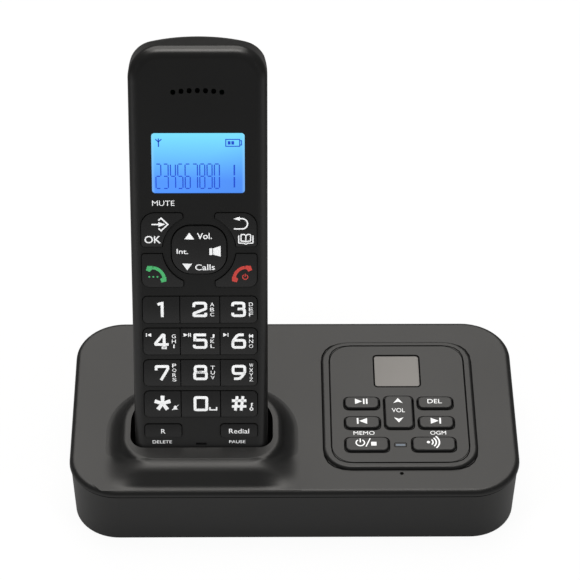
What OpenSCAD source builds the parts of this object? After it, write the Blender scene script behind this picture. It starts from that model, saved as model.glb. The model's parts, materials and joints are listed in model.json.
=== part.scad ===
// Cordless phone on its charging base with an answering machine.
// X runs to the right, Y to the back, Z up; the table is at z = 0 and the origin lies
// under the middle of the whole set.

/* [Base] */
// Width of the base
base_w = 170; // [150:1:200]
// Depth of the base
base_d = 91; // [84:1:120]
// Corner radius of the base in plan
base_corner = 18.6; // [14:0.1:24]
// Height of the deck above the table
deck_h = 27.3; // [27.3:0.1:32]
// Height of the seam between the top and the bottom shell
seam_h = 25; // [24:0.1:25]
// Fillet along the edge of the deck
deck_round = 2.2; // [1:0.1:2.2]
// Wall of the bottom shell
base_wall = 2; // [1.5:0.1:3]
// How far the walls of the bottom shell lean in towards the floor
base_draft = 0.8; // [0.4:0.1:2.5]
// How far the top shell overhangs the bottom shell
overhang = 0.5; // [0.2:0.1:1]
// Open groove between the two shells
seam_gap = 0.4; // [0.2:0.1:0.8]
// How far the feet stand out of the floor
foot_proud = 0.4; // [0.3:0.1:2]
// Radius of a rubber foot
foot_r = 5; // [4:0.5:8]

/* [Cradle] */
// Centre of the cradle, left of the middle of the base
cradle_x = -35.1; // [-42:0.1:-32]
// Angle by which the handset leans back
lean = 22.3; // [18:0.1:24]
// Where the face of the handset crosses the rim, in front of the middle of the base
cradle_y = -27.3; // [-27.6:0.1:-25]
// Height of the rim above the deck
rim_rise = 5.7; // [4:0.1:7]
// Width of the flare that runs from the deck up to the rim
flare_w = 9.5; // [7.5:0.1:9.5]
// Radius of the rounded upper edge of the flare
brow_r = 2.6; // [1.5:0.1:3]
// Width of the flat lip at the sides and the back of the rim
lip = 1.3; // [1.1:0.1:2]
// Width of the flat lip in front of the handset
front_lip = 5.4; // [3:0.1:5.4]
// Room between the handset and the side of its pocket
side_gap = 1.9; // [1:0.1:3]
// Room in front of the handset in its pocket
front_gap = 0.3; // [0.3:0.1:0.8]
// Room behind the handset in its pocket
back_gap = 1.5; // [0.8:0.1:2.5]
// How deep the face of the handset sits below the rim
seat_depth = 8; // [6:0.5:9]
// Wall of the leaning well
well_wall = 1.8; // [1.4:0.1:2.4]
// Clearance between any moving piece and what it moves in
run_gap = 0.3; // [0.25:0.05:0.4]

/* [Handset] */
// Width of the handset
hs_w = 50; // [46:0.1:54]
// Thickness of the handset
hs_t = 25; // [24:0.5:28]
// Length of the handset
hs_l = 163.5; // [160:0.5:176]
// Radius of the top corners seen from the front
hs_top_r = 12; // [9:0.5:13]
// Radius of the bottom corners seen from the front
hs_bottom_r = 8; // [6:0.5:10]
// Fillet between the face and the sides
hs_front_r = 4; // [3:0.1:4.5]
// Radius between the sides and the back
hs_back_r = 13; // [11:0.5:14]
// Radius of the full back seen from above
hs_belly_r = 34; // [32:0.5:40]
// Rounding from the back over the top end
hs_top_back_r = 12; // [8:0.5:14]
// Rounding from the back under the bottom end
hs_foot_r = 4; // [3:0.5:6]
// Depth of the seam between the front and the back shell
hs_seam = 8.5; // [8.3:0.1:9.5]
// Wall behind the face
face_wall = 2; // [1.6:0.1:2.2]
// Wall of the sides and the back
hs_wall = 1.8; // [1.4:0.1:2]

/* [Handset face] */
// Width of the display window
screen_w = 33.5; // [30:0.5:36]
// Height of the display window
screen_h = 22.7; // [20:0.5:24]
// Distance from the top end down to the middle of the display window
screen_drop = 43.2; // [42:0.1:45]
// Width of the navigation pad
nav_w = 19.8; // [18:0.1:21]
// Height of the navigation pad
nav_h = 18.4; // [17:0.1:19.5]
// Distance from the middle of the display window down to the middle of the navigation pad
nav_drop = 33.1; // [32.9:0.1:34]
// Radius of the round shoulder that the four keys leave for the pad
nav_ring = 13.6; // [13:0.1:14.5]
// Width of the block of keys
keys_w = 42; // [39:0.1:42.4]
// Width of the middle column of number keys
middle_w = 14.7; // [13:0.1:16]
// Distance from the middle of the navigation pad down to the middle of the highest row
rows_drop = 23.61; // [23.4:0.01:24.4]
// Height of the middle of the lowest row above the bottom end
row_z = 25.7; // [25.4:0.1:26]
// Clear height between one row of number keys and the next
row_gap = 2.23; // [2:0.01:3]
// Height of the two small keys below the number keys
small_key_h = 5.3; // [4.6:0.1:5.6]
// Height of the middle of the two small keys above the bottom end
small_key_z = 14.8; // [14.4:0.1:15]
// How far the keys stand out of the face
key_proud = 0.8; // [0.5:0.1:1.2]
// How far the keys travel
key_travel = 0.6; // [0.4:0.1:0.7]
// How far the navigation pad tilts each way
nav_tilt = 3; // [2:0.5:3]
// Width of the row of slots in front of the earpiece
ear_row = 20.4; // [16:0.1:22]
// Number of slots in front of the earpiece
ear_slots = 7; // [5:1:9]

/* [Batteries] */
// Diameter of a cell
cell_d = 10.5; // [10:0.1:10.5]
// Length of a cell
cell_l = 44.5; // [43:0.1:45]
// Height of the lower end of the battery bay above the bottom end
bay_z = 41; // [38:1:46]

/* [Control panel] */
// Centre of the panel, right of the middle of the base
panel_x = 40.1; // [38:0.1:42]
// Centre of the panel, behind the middle of the base
panel_y = -0.4; // [-2:0.1:2]
// Width of the raised platform
platform_w = 56; // [55:0.1:60]
// Depth of the raised platform
platform_d = 65; // [64:0.1:66]
// Corner radius of the raised platform
platform_r = 9.5; // [8:0.1:12]
// Height of the platform above the deck
platform_rise = 1.2; // [0.8:0.1:2]
// Width of the control plate
plate_w = 51.6; // [50:0.1:53]
// Depth of the control plate
plate_d = 61.4; // [60:0.1:62]
// Corner radius of the control plate
plate_r = 8; // [6:0.1:9]
// Thickness of the control plate
plate_t = 1.8; // [1.5:0.1:2]
// Width of the window of the base display
window_w = 17.5; // [16:0.1:20]
// Depth of the window of the base display
window_d = 16.8; // [15:0.1:18]
// How far the base keys stand out of the plate
base_key_proud = 0.9; // [0.6:0.1:1.4]
// How far the base keys travel
base_key_travel = 0.8; // [0.5:0.1:0.9]
// How far the volume rocker tilts each way
volume_tilt = 4; // [3:0.5:4]

/* [Back and floor] */
// Width of a socket block
jack_w = 13; // [12:0.5:15]
// Depth of a socket block
jack_d = 15; // [14:0.5:18]
// Width of the mouth of a socket
jack_mouth_w = 9.8; // [9:0.1:10.5]
// Height of the mouth of a socket
jack_mouth_h = 7; // [6:0.1:7.5]
// Place of the line socket, right of the middle of the base
line_x = 30; // [27:1:33]
// Place of the power socket, right of the middle of the base
power_x = 52; // [49:1:55]
// Radius of the loudspeaker of the base
speaker_r = 18; // [14:1:20]

/* [Hidden] */
$fn = 64;
eps = 0.05;
far = 60;

// Levels of the base
rim_h = deck_h + rim_rise;
platform_h = deck_h + platform_rise;
plate_seat_h = platform_h - plate_t;
floor_h = foot_proud + base_wall;
tub_h = seam_h - seam_gap;
board_t = 1.6;
mat_t = 1.2;
plate_gap = 0.25;
base_flange_t = 0.9;
base_flange_h = plate_seat_h - run_gap;
mat_h = base_flange_h - base_flange_t - base_key_travel - run_gap;
board_h = mat_h - mat_t;

// Rounds a derived place to 0.02 mm, so that the stretches of a carried section meet exactly
function fine(v) = round(v * 50) / 50;

// The display and the pad hang from the top end, and the four rows fill the room below them
screen_z = hs_l - screen_drop;
nav_z = screen_z - nav_drop;
row_pitch = (nav_z - rows_drop - row_z) / 3;
key_h = row_pitch - row_gap;

// The pocket leans; these are its edges on the level of the rim
pocket_front_y = cradle_y - front_gap / cos(lean);
pocket_back_y = cradle_y + (hs_t + back_gap) / cos(lean);
pocket_w = hs_w + 2 * side_gap;
pocket_d = hs_t + front_gap + back_gap;
pocket_front_r = hs_front_r + 1.5;
pocket_back_r = hs_back_r + 1.5;
collar_w = pocket_w + 2 * lip;
collar_front_y = fine(pocket_front_y - front_lip);
collar_back_y = fine(pocket_back_y + lip + 0.1);
collar_d = collar_back_y - collar_front_y;
collar_mid_y = (collar_back_y + collar_front_y) / 2;
collar_front_r = pocket_front_r + 5.5;
collar_back_r = pocket_back_r + 2.5;
seat_gap = run_gap;

// The foot of the flare dips this far under the deck, and its hollow arc bites this far into
// the arc of its upper edge, so that each pair of faces crosses at an angle
flare_toe = 0.08;
flare_bite = 0.002;

// The rearmost point of the set is the rounded top of the leaning handset
set_back_y = cradle_y + (hs_l - hs_top_back_r - seat_depth) * sin(lean)
    + (hs_t - hs_top_back_r) * cos(lean) + hs_top_back_r;
base_y = -(set_back_y - base_d / 2) / 2;

// Layers of the handset, as depths below its face
flange_t = 0.8;
flange_y = face_wall + run_gap;
mat_y = flange_y + flange_t + key_travel + run_gap;
hs_mat_t = 1.2;
hs_board_y = mat_y + hs_mat_t;
hs_board_t = 1.3;
hs_radio_size = [22, 18, 1.8];
hs_chip_size = [10, 10, 1];
window_t = 1.4;

// The battery bay opens to the back, behind the board
bay_w = 2 * cell_d + 1;
bay_l = cell_l + 7;
bay_floor_y = hs_t - hs_wall - cell_d - 1.2;
cover_w = bay_w + 10;
cover_l = bay_l + 12;
cover_z = bay_z + bay_l / 2;

// Screws
screw_r = 1.4;
screw_head_r = 2.9;
boss_r = 4.2;
boss_h = 14;
head_seat_h = 7;
screw_head_t = 2;
screw_l = 11;
boss_inset = [11, 18.5];
base_boss_x = base_w / 2 - boss_inset.x;
base_boss_y = base_d / 2 - boss_inset.y;
screw_hole_top = head_seat_h + screw_l + 3;
hs_screw_r = 1;
hs_boss_r = 2.3;
hs_boss_x = hs_w / 2 - 5.6;
hs_boss_zs = [6.5, screen_z + screen_h / 2 + 7.4];

// Places of the base keys, measured from the centre of the panel
side_key = [13, 5.9];
wide_key = [16.1, 6.85];
volume_key = [10.6, 16.8];
side_key_x = 14.1;
wide_key_x = 12.65;
upper_key_y = -0.35;
lower_key_y = -10.7;
wide_key_y = -22;
volume_y = -5.3;
window_y = 17.2;
light_w = 3.5;
light_d = 0.9;
mic_hole_r = 0.75;
mic_r = 2.2;
mic_t = 2.6;
mic_inset = 9.6;
mic_y = mic_inset - base_d / 2 - panel_y;

// Circuit board under the panel: it ends short of the microphone, and its tail carries the
// sockets' side
board_d = -2 * (mic_y + mic_r + 0.8);
board_tail = 9;
radio_size = [20, 14, 3];
chip_size = [9, 9, 1.2];

// Bevel under the edge of the bottom shell
sole_edge = 0.4;

// Loudspeaker, feet and sockets of the base
speaker_y = -8;
speaker_rim_t = 1.5;
speaker_cone_t = 2.5;
speaker_t = 7;
foot_t = 0.6;
foot_inset = [24, 11];
foot_x = base_w / 2 - foot_inset.x;
foot_y = base_d / 2 - foot_inset.y;
jack_block_h = 11.6;
jack_h = board_h - board_t - jack_block_h;
jack_face_y = base_d / 2 - 1.5;
jack_reach = 11;

// Sound slots under the loudspeaker: the length of the one i steps from the middle
slot_w = 1.6;
slot_pitch = 4;
function slot_run(i) = 1.5 * sqrt(speaker_r ^ 2 - (slot_pitch * i) ^ 2);

// Charging contacts, in the handset's frame
contact_x = 12;
contact_y = 15;
contact_w = 4;
contact_d = 2.6;
contact_lift = 0.3;
contact_tail = 5;

// Arcs of the handset's back: the side arcs and the wide arc touch without a corner
belly_y = hs_t - hs_belly_r;
back_arc_x = hs_w / 2 - hs_back_r;
back_arc_y = belly_y + sqrt((hs_belly_r - hs_back_r) ^ 2 - back_arc_x ^ 2);

// Keys of the handset
key_slit = run_gap + 0.05;
key_x = (keys_w + middle_w) / 4;
shoulder_x = 5.9;
shoulder_h = 12.9;
shoulder_rise = 7.9;
nav_gap = 0.5;
nav_proud = 1.4;
nav_crown = 60;
nav_flange_y = face_wall + run_gap + (nav_w / 2 + 0.8) * sin(nav_tilt);
mouth_z = 9.3;
ringer_r = 9;
ringer_z = (cover_z + cover_l / 2 + hs_l - hs_top_back_r) / 2;

// The earpiece lies midway between the display module and the top end, in the room they leave
module_rim = 2;
ear_room = screen_drop - screen_h / 2 - module_rim - hs_wall;
ear_z = hs_l - hs_wall - ear_room / 2;
ear_r = 0.285 * ear_room;
ear_t = 2.8;
ear_rim_t = 1.6;

// Radii of the crowns of the keys
number_crown = 30;
shoulder_crown = 60;
small_crown = 16;
hs_head_y = 13;
hs_head_r = 1.9;

// ---------------------------------------------------------------- drawing tools

module quarter(r) {
    intersection() {
        circle(r);
        square(r);
    }
}

// Plan w wide and d deep on the origin; rb is the radius of its back corners, rf of its front ones
module round_plan(w, d, rb, rf) {
    for (m = [0, 1]) mirror([m, 0]) {
        translate([w / 2 - rb, d / 2 - rb]) quarter(rb);
        translate([w / 2 - rf, rf - d / 2]) mirror([0, 1]) quarter(rf);
    }
    polygon([
        [w / 2, rf - d / 2], [w / 2, d / 2 - rb], [w / 2 - rb, d / 2], [rb - w / 2, d / 2],
        [-w / 2, d / 2 - rb], [-w / 2, rf - d / 2], [rf - w / 2, -d / 2], [w / 2 - rf, -d / 2]
    ]);
}

// Carries a section round the same plan; the section's x runs outwards from the outline
module carry_round(w, d, rb, rf) {
    for (i = [0:3]) {
        r = i < 2 ? rb : rf;
        x = (i == 0 || i == 3) ? 1 : -1;
        y = i < 2 ? 1 : -1;
        translate([x * (w / 2 - r), y * (d / 2 - r), 0]) rotate([0, 0, 90 * i])
            rotate_extrude(angle = 90) translate([r, 0]) children();
    }
    for (m = [0, 1]) mirror([m, 0, 0]) translate([w / 2, d / 2 - rb, 0])
        rotate([90, 0, 0]) linear_extrude(d - rb - rf) children();
    rotate([0, 0, 90]) translate([d / 2, w / 2 - rb, 0])
        rotate([90, 0, 0]) linear_extrude(w - 2 * rb) children();
    rotate([0, 0, -90]) translate([d / 2, w / 2 - rf, 0])
        rotate([90, 0, 0]) linear_extrude(w - 2 * rf) children();
}

// A slab of that plan whose upper edge has a fillet
module rounded_slab(w, d, rb, rf, h, edge) {
    linear_extrude(h - edge) round_plan(w, d, rb, rf);
    linear_extrude(h) round_plan(w - 2 * edge, d - 2 * edge, rb - edge, rf - edge);
    carry_round(w, d, rb, rf) translate([-edge, h - edge]) quarter(edge);
}

// A ring of cylinders or other things at the four corners of a rectangle
module at_corners(x, y) {
    for (i = [-1, 1], j = [-1, 1]) translate([i * x, j * y, 0]) children();
}

module on_base() {
    translate([0, base_y, 0]) children();
}

module on_panel() {
    translate([panel_x, base_y + panel_y, 0]) children();
}

// The handset's own frame: x across, y into it from its face, z up from its bottom end
module in_cradle() {
    translate([cradle_x, base_y + cradle_y, rim_h]) rotate([-lean, 0, 0])
        translate([0, 0, -seat_depth]) children();
}

// Extrudes a drawing of the handset's face from one depth below the face to another
module into_face(from, to) {
    translate([0, to, 0]) rotate([90, 0, 0]) linear_extrude(to - from) children();
}

// ---------------------------------------------------------------- base, fixed pieces

module pocket_plan(grow) {
    translate([0, (hs_t + back_gap - front_gap) / 2])
        round_plan(pocket_w + 2 * grow, pocket_d + 2 * grow, pocket_back_r + grow,
            pocket_front_r + grow);
}

// A round upper edge at the rim, and from there a hollow arc that runs out into the deck
module flare_section() {
    rise = rim_rise + flare_toe;
    steep = 2 * atan(rise / flare_w);
    hollow_r = flare_w / sin(steep) - brow_r;
    turn = [brow_r * sin(steep), rim_rise - brow_r * (1 - cos(steep))];
    difference() {
        union() {
            translate([0, rim_rise - brow_r]) quarter(brow_r);
            polygon([
                [-1, -1], [flare_w, -1], [flare_w, turn.y], turn, [0, rim_rise - brow_r],
                [0, rim_rise], [-1, rim_rise]
            ]);
        }
        translate([flare_w, hollow_r - flare_toe]) circle(hollow_r + flare_bite);
    }
}

// The rounded edge of the platform
module platform_section() {
    quarter(platform_rise);
    translate([-1, -1]) square([1, platform_rise + 1]);
    translate([-1, -1]) square([platform_rise + 1, 1]);
}

module base_key_holes(grow) {
    for (x = [-side_key_x, side_key_x], y = [upper_key_y, lower_key_y])
        translate([x, y]) base_key_plan(side_key, grow);
    for (x = [-wide_key_x, wide_key_x])
        translate([x, wide_key_y]) base_key_plan(wide_key, grow);
    translate([0, volume_y]) base_key_plan(volume_key, grow);
}

module base_key_plan(size, grow) {
    round_plan(size.x + 2 * grow, size.y + 2 * grow, 2 + grow, 2 + grow);
}

module deck() {
    on_base() translate([0, 0, seam_h])
        rounded_slab(base_w, base_d, base_corner, base_corner, deck_h - seam_h, deck_round);
}

module collar() {
    on_base() translate([cradle_x, collar_mid_y, 0]) {
        translate([0, 0, deck_h - 1]) linear_extrude(rim_rise + 1)
            round_plan(collar_w, collar_d, collar_back_r, collar_front_r);
        translate([0, 0, deck_h])
            carry_round(collar_w, collar_d, collar_back_r, collar_front_r) flare_section();
    }
}

module well() {
    intersection() {
        in_cradle() translate([0, 0, -seat_gap - well_wall]) linear_extrude(far)
            pocket_plan(well_wall);
        on_base() translate([cradle_x - far / 2, -base_d / 2, 0])
            cube([far, base_d, deck_h - 1]);
    }
}

module platform() {
    on_panel() {
        translate([0, 0, deck_h - 1]) linear_extrude(platform_rise + 1)
            round_plan(platform_w, platform_d, platform_r, platform_r);
        translate([0, 0, deck_h])
            carry_round(platform_w, platform_d, platform_r, platform_r) platform_section();
    }
}

module base_top_shell() {
    color([0.13, 0.13, 0.13]) difference() {
        union() {
            deck();
            collar();
            well();
            platform();
            on_base() translate([0, 0, boss_h]) at_corners(base_boss_x, base_boss_y)
                cylinder(h = seam_h - boss_h + 1, r = boss_r);
            on_panel() translate([0, 0, board_h]) at_corners(plate_w / 2 - 2, plate_d / 2 + 1)
                cylinder(h = seam_h - board_h + 1, r = 2);
            // A lip that locates the bottom shell
            on_base() translate([0, 0, seam_h - 2.5]) difference() {
                linear_extrude(3) tub_plan(overhang + base_wall + 0.4);
                translate([0, 0, -1]) linear_extrude(5) tub_plan(overhang + base_wall + 1.8);
            }
        }
        in_cradle() translate([0, 0, -seat_gap]) linear_extrude(far) pocket_plan(0);
        in_cradle() translate([0, 0, -seat_gap - well_wall - 1]) linear_extrude(well_wall + 2)
            contact_plan(0.5);
        // Seat of the control plate, and the opening below it
        on_panel() translate([0, 0, plate_seat_h]) linear_extrude(far)
            round_plan(plate_w + 2 * plate_gap, plate_d + 2 * plate_gap, plate_r + plate_gap,
                plate_r + plate_gap);
        on_panel() translate([0, 0, seam_h - 1]) linear_extrude(far)
            round_plan(plate_w - 5, plate_d - 4, plate_r - 2, plate_r - 2);
        on_panel() translate([0, mic_y, seam_h - 1]) cylinder(h = far, r = mic_hole_r, $fn = 24);
        on_base() translate([0, 0, boss_h - 1]) at_corners(base_boss_x, base_boss_y)
            cylinder(h = screw_hole_top - boss_h + 1, r = screw_r, $fn = 24);
    }
}

module tub_plan(inset) {
    round_plan(base_w - 2 * inset, base_d - 2 * inset, base_corner - inset,
        base_corner - inset);
}

// Section of the drafted wall, its x measured from the outline of the deck
module tub_section() {
    polygon([
        [-overhang, tub_h], [-overhang - base_draft, foot_proud + sole_edge],
        [-overhang - base_draft - sole_edge, foot_proud],
        [-overhang - base_draft - base_wall - sole_edge, foot_proud],
        [-overhang - base_draft - base_wall, floor_h], [-overhang - base_wall, tub_h]
    ]);
}

module base_bottom_shell() {
    color([0.11, 0.11, 0.11]) difference() {
        union() {
            on_base() carry_round(base_w, base_d, base_corner, base_corner) tub_section();
            on_base() translate([0, 0, foot_proud]) linear_extrude(base_wall)
                tub_plan(overhang + base_draft + sole_edge);
            on_base() at_corners(base_boss_x, base_boss_y) translate([0, 0, foot_proud])
                cylinder(h = boss_h - foot_proud, r = boss_r);
            // A ring that holds the loudspeaker
            on_panel() translate([0, speaker_y, foot_proud]) difference() {
                cylinder(h = base_wall + 5, r = speaker_r + 1.8);
                translate([0, 0, -1]) cylinder(h = far, r = speaker_r + 0.2);
            }
        }
        on_base() at_corners(base_boss_x, base_boss_y) {
            translate([0, 0, -1]) cylinder(h = far, r = screw_r + 0.2, $fn = 24);
            translate([0, 0, -1]) cylinder(h = head_seat_h + 1, r = screw_head_r + 0.2);
        }
        on_base() at_corners(foot_x, foot_y) translate([0, 0, -1])
            cylinder(h = foot_proud + foot_t + 1, r = foot_r + 0.1);
        // Sound slots under the loudspeaker
        on_panel() for (i = [-3:3]) translate([i * slot_pitch, speaker_y, -1])
            linear_extrude(floor_h + 2) round_plan(slot_w, slot_run(i), slot_w / 2, slot_w / 2);
        for (x = [line_x, power_x]) on_base() translate([x, 0, 0])
            translate([-jack_w / 2 - 0.3, base_d / 2 - jack_reach - 1, jack_h - 0.3])
                cube([jack_w + 0.6, far, jack_block_h + 0.6]);
    }
}

module control_plate() {
    color([0.14, 0.14, 0.14]) on_panel() translate([0, 0, plate_seat_h]) difference() {
        linear_extrude(plate_t) round_plan(plate_w, plate_d, plate_r, plate_r);
        translate([0, 0, -1]) linear_extrude(far) {
            base_key_holes(run_gap);
            translate([0, window_y]) round_plan(window_w + 0.2, window_d + 0.2, 1.3, 1.3);
            translate([0, wide_key_y]) square([light_w + 0.1, light_d + 0.1], center = true);
        }
    }
}

module base_display_window() {
    color([0.5, 0.5, 0.48]) on_panel() translate([0, window_y, platform_h - 1.5])
        linear_extrude(1.3) round_plan(window_w, window_d, 1.2, 1.2);
}

module base_display_module() {
    color([0.35, 0.36, 0.35]) on_panel() translate([0, window_y, board_h]) {
        linear_extrude(platform_h - 1.5 - board_h - 1.4)
            round_plan(window_w + 4, window_d + 3, 1, 1);
        linear_extrude(platform_h - 1.5 - board_h) round_plan(window_w, window_d, 1, 1);
    }
}

module base_board() {
    color([0.1, 0.35, 0.2]) on_panel() translate([0, 0, board_h - board_t]) {
        linear_extrude(board_t) {
            round_plan(plate_w, board_d, 2, 2);
            translate([-plate_w / 2, plate_d / 2 - 2]) square([plate_w, board_tail]);
        }
        // Shielded radio module and the processor on the underside
        translate([4 - plate_w / 2, 12, -radio_size.z]) cube(radio_size + [0, 0, eps]);
        translate([6, 8, -chip_size.z]) cube(chip_size + [0, 0, eps]);
    }
}

module base_keymat() {
    color([0.45, 0.45, 0.45]) on_panel() translate([0, 0, board_h]) difference() {
        union() {
            translate([0, (upper_key_y + wide_key_y) / 2]) linear_extrude(mat_t * 0.6)
                round_plan(plate_w - 6, upper_key_y - wide_key_y + 12, 2, 2);
            linear_extrude(mat_t) {
                for (x = [-side_key_x, side_key_x], y = [upper_key_y, lower_key_y])
                    translate([x, y]) base_key_plan(side_key, -0.8);
                for (x = [-wide_key_x, wide_key_x])
                    translate([x, wide_key_y]) base_key_plan(wide_key, -0.8);
            }
        }
        translate([0, wide_key_y, -1]) linear_extrude(far)
            square([light_w + 1, light_d + 1], center = true);
    }
}

module base_speaker() {
    color([0.3, 0.3, 0.32]) on_panel() translate([0, speaker_y, floor_h]) {
        cylinder(h = speaker_rim_t, r = speaker_r);
        translate([0, 0, speaker_rim_t])
            cylinder(h = speaker_cone_t, r1 = speaker_r - 1, r2 = speaker_r / 2);
        cylinder(h = speaker_t, r = speaker_r / 2);
    }
}

module base_microphone() {
    color([0.6, 0.6, 0.62]) on_panel() translate([0, mic_y, seam_h - mic_t])
        cylinder(h = mic_t, r = mic_r);
}

module status_light_pipe() {
    color([0.75, 0.8, 0.85]) on_panel() translate([0, wide_key_y, 0]) {
        translate([-light_w / 2, -light_d / 2, board_h])
            cube([light_w, light_d, platform_h - board_h]);
        translate([-light_w / 2 - 0.4, -light_d / 2 - 0.4, board_h])
            cube([light_w + 0.8, light_d + 0.8, plate_seat_h - board_h]);
    }
}

// Where the two charging contacts lie on the bottom end of the handset
module contact_plan(grow) {
    for (x = [-contact_x, contact_x]) translate([x, contact_y])
        square([contact_w + 2 * grow, contact_d + 2 * grow], center = true);
}

module charge_springs() {
    color([0.85, 0.75, 0.45]) in_cradle() {
        // Bent tips that press on the handset, and the flange under the floor of the well
        for (x = [-contact_x, contact_x]) translate([x - contact_w / 2 + 0.3, contact_y, 0])
            rotate([90, 0, 90]) linear_extrude(contact_w - 0.6) {
                translate([0, contact_lift - run_gap - 0.9]) circle(0.9);
                translate([-0.4, -contact_tail - well_wall])
                    square([0.8, contact_tail + well_wall - 0.6]);
            }
        translate([0, 0, -seat_gap - well_wall - 0.8]) linear_extrude(0.8) contact_plan(1.6);
    }
}

module jack(x) {
    mouth_z = jack_h + 5.2;
    color([0.16, 0.16, 0.17]) on_base() translate([x, jack_face_y, 0]) difference() {
        translate([-jack_w / 2, -jack_d, jack_h]) cube([jack_w, jack_d, jack_block_h]);
        translate([-jack_mouth_w / 2, -jack_reach, mouth_z - jack_mouth_h / 2])
            cube([jack_mouth_w, jack_reach + 1, jack_mouth_h]);
        // Notch for the latch of the plug
        translate([-2, -jack_reach / 2, mouth_z + jack_mouth_h / 2 - eps])
            cube([4, jack_reach, 1.6]);
    }
}

module line_jack() {
    jack(line_x);
}

module power_jack() {
    jack(power_x);
}

module rubber_feet() {
    color([0.2, 0.2, 0.2]) on_base() at_corners(foot_x, foot_y)
        cylinder(h = foot_proud + foot_t, r = foot_r);
}

module base_screws() {
    color([0.7, 0.7, 0.72]) on_base() at_corners(base_boss_x, base_boss_y) {
        translate([0, 0, head_seat_h - screw_head_t])
            cylinder(h = screw_head_t, r = screw_head_r);
        translate([0, 0, head_seat_h - eps])
            cylinder(h = screw_l, r = screw_r - 0.05, $fn = 24);
    }
}

// ---------------------------------------------------------------- keys of the base

module base_key(size, x, y, drop) {
    top = platform_h + base_key_proud;
    foot = base_flange_h - drop;
    color([0.16, 0.16, 0.16]) on_panel() translate([x, y, 0]) {
        translate([0, 0, foot - base_flange_t]) linear_extrude(base_flange_t)
            base_key_plan(size, 0.7);
        translate([0, 0, foot - eps])
            rounded_slab(size.x, size.y, 2, 2, top - foot + eps, 0.6);
    }
}

module play_key() {
    base_key(side_key, -side_key_x, upper_key_y, 0);
}

module previous_key() {
    base_key(side_key, -side_key_x, lower_key_y, 0);
}

module delete_key() {
    base_key(side_key, side_key_x, upper_key_y, 0);
}

module next_key() {
    base_key(side_key, side_key_x, lower_key_y, 0);
}

module power_key() {
    base_key(wide_key, -wide_key_x, wide_key_y, 0);
}

module locate_key() {
    base_key(wide_key, wide_key_x, wide_key_y, 0);
}

// The rocker's flange lies lower, so that its ends stay clear of the plate as it tilts
module volume_rocker() {
    base_key(volume_key, 0, volume_y, (volume_key.y / 2 + 0.7) * sin(volume_tilt));
}

// ---------------------------------------------------------------- handset, shells

module face_plan(inset) {
    translate([0, hs_l / 2]) round_plan(hs_w - 2 * inset, hs_l - 2 * inset, hs_top_r - inset,
        hs_bottom_r - inset);
}

// Flat front half of the handset with its rounded edge
module front_form() {
    translate([0, hs_seam, hs_l / 2]) rotate([90, 0, 0])
        rounded_slab(hs_w, hs_l, hs_top_r, hs_bottom_r, hs_seam, hs_front_r);
}

// Section of the full back behind the flat front: side arcs that run into one wide arc
module back_section(inset) {
    wedge = 2 / (hs_belly_r - hs_back_r);
    translate([0, belly_y]) intersection() {
        circle(hs_belly_r - inset, $fn = 128);
        polygon([
            [0, 0], [back_arc_x, back_arc_y - belly_y] * wedge * hs_belly_r,
            [-back_arc_x, back_arc_y - belly_y] * wedge * hs_belly_r
        ]);
    }
    for (m = [0, 1]) mirror([m, 0]) translate([back_arc_x, back_arc_y])
        quarter(hs_back_r - inset);
    translate([inset - hs_w / 2, hs_front_r])
        square([hs_w - 2 * inset, back_arc_y - hs_front_r]);
}

// Round post about the axis of the handset's back: its top edge rounds over the top end
module back_round(inset) {
    r = hs_belly_r - inset;
    top = hs_l - inset;
    edge = hs_top_back_r - inset;
    foot = hs_foot_r - inset;
    translate([0, belly_y]) rotate_extrude($fn = 128) {
        translate([r - edge, top - edge]) quarter(edge);
        translate([r - foot, inset + foot]) mirror([0, 1]) quarter(foot);
        polygon([
            [0, inset], [r - foot, inset], [r, inset + foot], [r, top - edge],
            [r - edge, top], [0, top]
        ]);
    }
}

// The back half of the handset, drawn in by an inset
module back_form(inset) {
    intersection() {
        translate([0, 0, inset]) linear_extrude(hs_l - 2 * inset) back_section(inset);
        into_face(0, hs_t) face_plan(inset);
        back_round(inset);
    }
}

module at_hs_screws() {
    for (x = [-hs_boss_x, hs_boss_x], z = hs_boss_zs) translate([x, 0, z]) children();
}

// A cylinder that runs into the handset between two depths
module pin_into_face(from, to, r) {
    translate([0, from, 0]) rotate([-90, 0, 0]) cylinder(h = to - from, r = r, $fn = 32);
}

module row_plan(row, grow) {
    translate([0, row_z + row * row_pitch])
        round_plan(keys_w + 2 * grow, key_h + 2 * grow, 1.8 + grow, 1.8 + grow);
}

// One of the four keys round the pad: side is -1 or 1, rise is 1 above the pad and -1 below
module shoulder_plan(side, rise, grow) {
    r = rise > 0 ? 5 : 3;
    w = keys_w / 2 - shoulder_x;
    difference() {
        translate([side * (shoulder_x + w / 2), nav_z - 0.2 + rise * shoulder_rise])
            scale([1, rise]) {
                round_plan(w + 2 * grow, shoulder_h + 2 * grow, r + grow, 1 + grow);
                translate([-side * w / 4, 0])
                    round_plan(w / 2 + 2 * grow, shoulder_h + 2 * grow, 1 + grow, 1 + grow);
            }
        translate([0, nav_z]) circle(nav_ring - grow);
    }
}

module small_key_plan(side, grow) {
    w = (keys_w - middle_w) / 2;
    translate([side * (keys_w - w) / 2, small_key_z])
        round_plan(w + 2 * grow, small_key_h + 2 * grow, 1.2 + grow, 1.2 + grow);
}

module nav_plan(grow) {
    translate([0, nav_z]) round_plan(nav_w + 2 * grow, nav_h + 2 * grow, 7 + grow, 7 + grow);
}

module screen_plan(grow) {
    translate([0, screen_z])
        round_plan(screen_w + 2 * grow, screen_h + 2 * grow, 1.2 + grow, 1.2 + grow);
}

// Slots in front of the earpiece, along a shallow arch
module ear_plan() {
    pitch = ear_row / ear_slots;
    for (i = [0:ear_slots - 1]) let (x = (i - (ear_slots - 1) / 2) * pitch)
        translate([x, ear_z - x * x / 120]) round_plan(0.6 * pitch, 2, 0.8, 0.8);
}

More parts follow.
